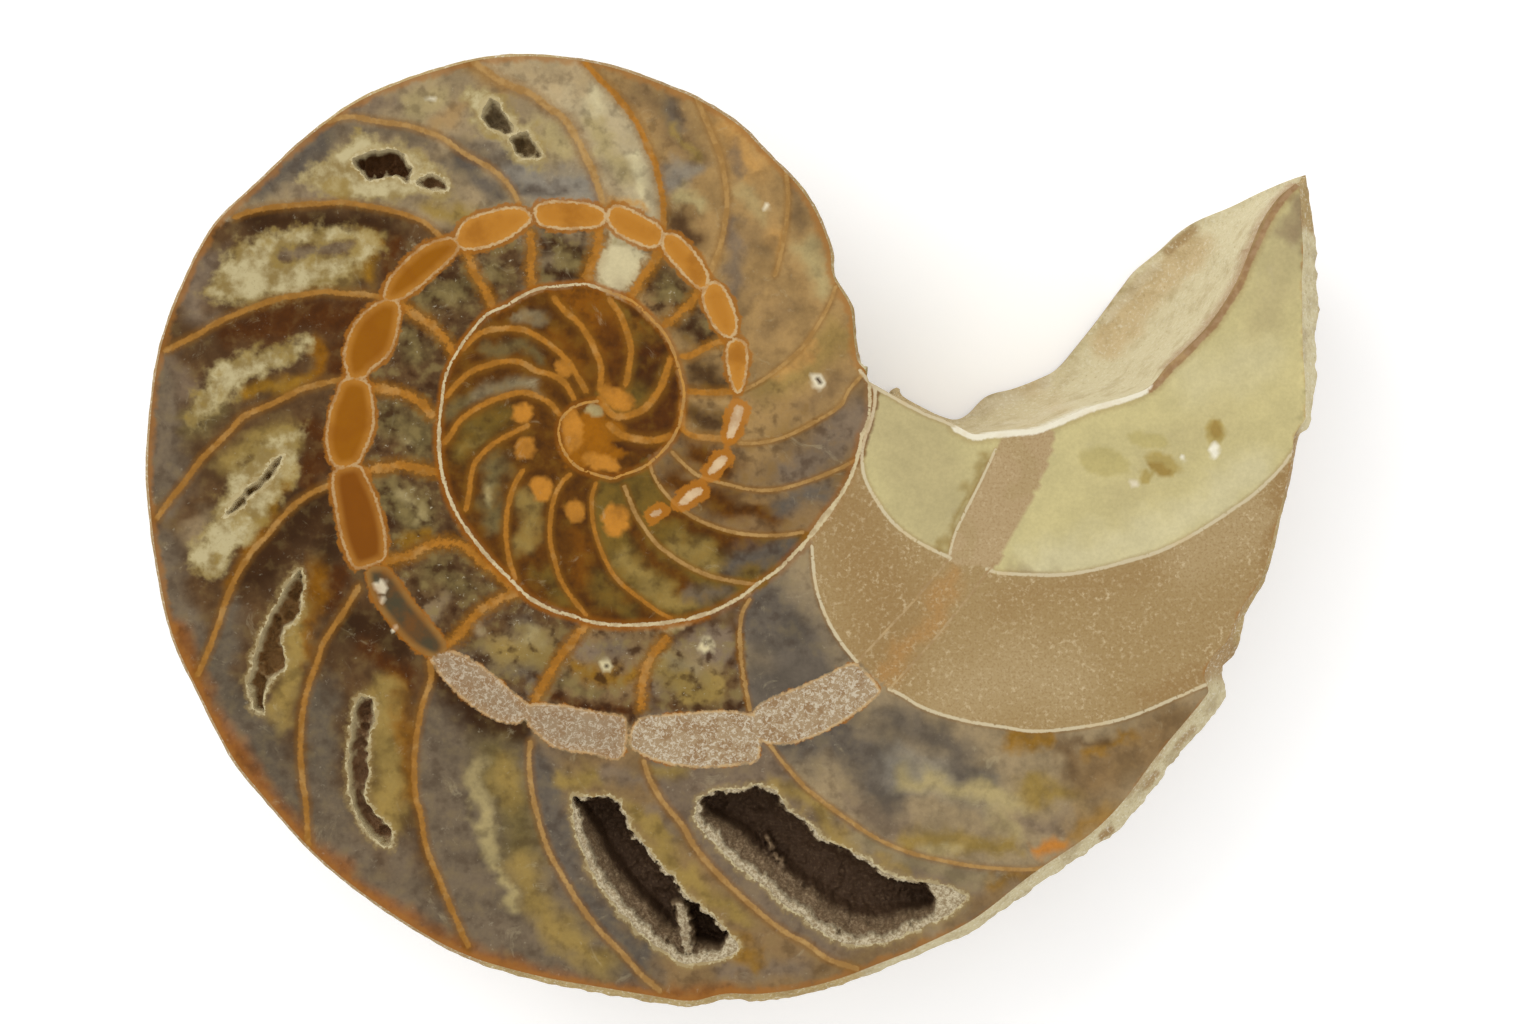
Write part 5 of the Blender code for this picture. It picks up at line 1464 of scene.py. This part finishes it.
bowl_tint = stroked(ring, "bowl cream", BOWL_STROKES, 66)
deep_down = smooth((FACE_HEIGHT - height) / (5 * MM) - 0.5) * smooth((1100 - ring[:, 0]) / 60)
far_down = (FACE_HEIGHT - height) / MM - 2.5 + 4 * (cloud(ring, 9, 69) - 0.5)
bowl_tint = paint(bowl_tint, "bowl cream", smooth((12 - to_cut) / 5) * smooth(far_down / 4))
bowl_tint = paint(bowl_tint, "bowl sand", deep_down * (0.3 + 0.7 * smooth(cloud(ring, 40, 67) * 3 - 1)))
add_piece("last_chamber_wall", ring_vertices, ring_faces[bowl_faces], {}, {"tint": bowl_tint},
          rock_finish("sandy chamber wall", 0.7, tone(232, 224, 196), tone(168, 144, 98), 0.35),
          ALL_SMOOTH)

# The side goes straight down from the outline to the edge of the back
side_bottom = border_top - EDGE_BAND
side_vertices = np.column_stack([to_stone(border), side_bottom])
count = len(border)
run = np.arange(count)
following = (run + 1) % count
shift = len(ring_vertices)
side_faces = np.vstack([
    np.column_stack([run, run + shift, following + shift]),
    np.column_stack([run, following + shift, following])])
rim_vertices = np.vstack([ring_vertices, side_vertices])
rim_faces = np.vstack([ring_faces[~bowl_faces], side_faces])
rim_tint = stroked(np.vstack([ring, border]), "rim brown", RIM_STROKES, 68)
add_piece("raw_rim", rim_vertices, rim_faces, {}, {"tint": rim_tint},
          rock_finish("broken rim", 0.6, tone(240, 234, 212), tone(132, 102, 62), 0.3),
          0.9)

# The back: rows of points inside its edge, then a grid, with low ribs and bumps off the worn flat
INSETS_PX = (3.5, 8, 14, 21)
BACK_GRID_PX = 7.0
UNDER_EDGE_WIDTH = 2.1 * MM
RIB_COUNT = 46
RIB_LEAN = 0.28
RIB_MM = 0.12
SWELL_MM = 0.5
BUMP_MM = 0.25
inset_rows = []
outward = sideways(np.roll(border, -1, axis=0) - np.roll(border, 1, axis=0))
for inset in INSETS_PX:
    row = border - outward * inset
    inset_rows.append(row[inside(row, border) & (line_distance(row, border, 60, True) > inset * 0.85)])
back_grid = staggered(border.min(0), border.max(0), BACK_GRID_PX)
back_grid = back_grid[inside(back_grid, border)]
back_grid = back_grid[line_distance(back_grid, border, 60, True) > 25]
back = np.vstack([border] + inset_rows + [back_grid])
back_plan = to_stone(back)
back_height = FACE_HEIGHT - back_depth(back_plan)
to_outline = line_distance(back, outline, 40) * PIXEL
under_edge = outline_top[nearest_of(back, outline)] - EDGE_BAND
back_height = np.where(to_outline < UNDER_EDGE_WIDTH, np.minimum(back_height, under_edge), back_height)
radius = np.hypot(*(back_plan - COIL_CENTRE).T)
turn = np.arctan2(*(back_plan - COIL_CENTRE).T[::-1])
ribs = np.sin(turn * RIB_COUNT + radius / MM * RIB_LEAN + 3 * (cloud(back, 90, 71) - 0.5))
swells = SWELL_MM * (cloud(back, 60, 72) - 0.5)
relief = (RIB_MM * ribs + swells + BUMP_MM * (cloud(back, 16, 73) - 0.5)) * MM
inner = np.minimum(line_distance(back, border, 40, True) / 20, 1)
off_flat = smooth((back_height - 0.1 * MM) / (1.5 * MM))
back_height = np.clip(back_height + relief * inner * off_flat, 0, FACE_HEIGHT)
back_height[:count] = side_bottom
back_vertices = np.column_stack([back_plan, back_height])
back_faces = plan_triangles(back, [(0, count)])
back_tint = plain("shell", back)
back_tint = paint(back_tint, "brown", smooth((cloud(back, 120, 74) - 0.42) * 4))
back_tint = paint(back_tint, "rim sand", smooth((cloud(back, 50, 75) - 0.52) * 5) * 0.8)
back_tint = paint(back_tint, "umber", smooth(0.5 - ribs) * 0.3)
back_tint = paint(back_tint, "dark umber", smooth(1 - radius / (NAVEL_RADIUS * 1.1)) * 0.8)
add_piece("shell_back", back_vertices, back_faces, {}, {"tint": back_tint},
          rock_finish("weathered shell", 0.55, tone(214, 200, 168), tone(96, 74, 50), 0.5),
          ALL_SMOOTH)

# The crystal crusts of the two big hollows.
# Small pale calcite crystals grown on the walls of two empty chambers: a white sugary rim flush with the saw
# cut, grey-brown crystals on the walls, and painted shade that makes them very dark towards the floor.

HOLLOW_DEPTH = 6.5 * MM
CRUST_GRID_PX = 1.6
CRYSTAL_DRIFT_PX = 0.35
STONE_BELOW = 2.0 * MM
# The share of the depth by the millimetres past the flush rim, on the steep upper and the gentle lower side
STEEP_SIDE = ((0, 0.12, 0.5, 1.2), (0.02, 0.4, 0.66, 0.8))
GENTLE_SIDE = ((0, 0.3, 1.4, 2.6), (0.02, 0.2, 0.45, 0.78))


def crust_sheet(mouth, tip, tip_reach, ridge, ridge_width, ridge_height, seed):
    """Points and triangles of a crystal lining under a mouth, with each point's share of the depth."""
    grid = staggered(mouth.min(0), mouth.max(0), CRUST_GRID_PX)
    grid = grid + np.random.default_rng(seed).uniform(-CRYSTAL_DRIFT_PX, CRYSTAL_DRIFT_PX, grid.shape)
    grid = grid[depth_inside(grid, mouth, 80) > 0.8]
    points = np.vstack([mouth, grid])
    apart = line_distance(points, mouth, 80, True)
    outward = -sideways(np.roll(mouth, -3, axis=0) - np.roll(mouth, 3, axis=0))
    weight = 1 / (((points[:, None] - mouth[None]) ** 2).sum(2) + 30) ** 2
    facing = (weight @ outward) / weight.sum(1)[:, None]
    lower = smooth(facing @ (-0.5, 0.95) + 0.1)
    jag = (cloud(points, 8, seed) - 0.5) * 8 + (cloud(points, 3, seed + 1) - 0.5) * 5
    flush = 2.6 + 4.0 * lower + jag
    flush = flush + 40 * smooth(1.6 - np.hypot(*(points - tip).T) / tip_reach)
    past = np.maximum(apart - flush, 0) * PIXEL / MM
    steep = np.interp(past, *STEEP_SIDE)
    gentle = np.interp(past, *GENTLE_SIDE)
    share = steep * (1 - lower) + gentle * lower
    ridge_level = line_distance(points, ridge, 60) + 8 * (cloud(points, 5, seed + 5) - 0.5)
    share = np.minimum(share, ridge_height + np.maximum(ridge_level - ridge_width, 0) / 9)
    sugar = (cloud(points, 3.2, seed + 2, 2) - 0.5) * 0.4 + (cloud(points, 9, seed + 3) - 0.5) * 0.8
    depth = np.minimum(HOLLOW_DEPTH, back_depth(to_stone(points)) - STONE_BELOW) * share
    height = FACE_HEIGHT - depth + sugar * MM * np.minimum(past * 3, 1)
    height = np.minimum(height, FACE_HEIGHT - 0.03 * MM * (cloud(points, 3, seed + 4) + 0.2))
    height[: len(mouth)] = FACE_HEIGHT
    faces = plan_triangles(points, [(0, len(mouth))])[:, ::-1]
    return np.column_stack([to_stone(points), height]), faces, share


def crystal_finish():
    """Sugary calcite crystals: white at the saw cut, grey-brown on the walls, and painted shade that makes
    them very dark at the bottom.
    """
    material, tree, place = new_finish("calcite crystals")
    sugar = grain(tree, place, 0.22, 4.0, 0.7)
    patches = grain(tree, place, 1.2, 3.0, 0.6)
    level = shaken(tree, stored(tree, "deep"), patches, 0.25)
    white = blend(tree, fade(tree, sugar, 0.35, 0.66), tone(146, 126, 94), tone(208, 194, 162))
    wall = blend(tree, fade(tree, sugar, 0.42, 0.7), tone(118, 96, 72), tone(172, 150, 118))
    # Painted shade: the crystals turn to this dark brown towards the bottom of each hollow, by the depth
    # share
    dark = blend(tree, fade(tree, sugar, 0.5, 0.72), tone(84, 65, 50), tone(118, 96, 74))
    colour = blend(tree, fade(tree, level, 0.06, 0.22), white, wall)
    colour = blend(tree, fade(tree, level, 0.3, 0.62), colour, dark)
    stone_surface(tree, colour, fade(tree, sugar, 0.3, 0.7, 0.35, 0.6), sugar, 0.7, 0.2, 0.12)
    return material


# Each crust: its mouth, the tip that stays flush with the cut and how far, the ridge with its half width and
# its share of the depth, and the seed
CRUSTS = {
    "crystal_crust_large": (mouths[0], (966, 893), 26, [(766, 840), (774, 854), (784, 870)], 2, 0.42, 81),
    "crystal_crust_small": (mouths[1], (738, 952), 12, [(680, 908), (684, 928), (688, 950)], 5, 0.1, 91),
}
crystal = crystal_finish()
for name, shape in CRUSTS.items():
    vertices, faces, share = crust_sheet(*shape)
    shown_name = name.replace("crystal", "sugary")
    crust = add_piece(shown_name, vertices, faces, {"deep": share}, {}, crystal, ALL_SMOOTH)
    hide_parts(name)
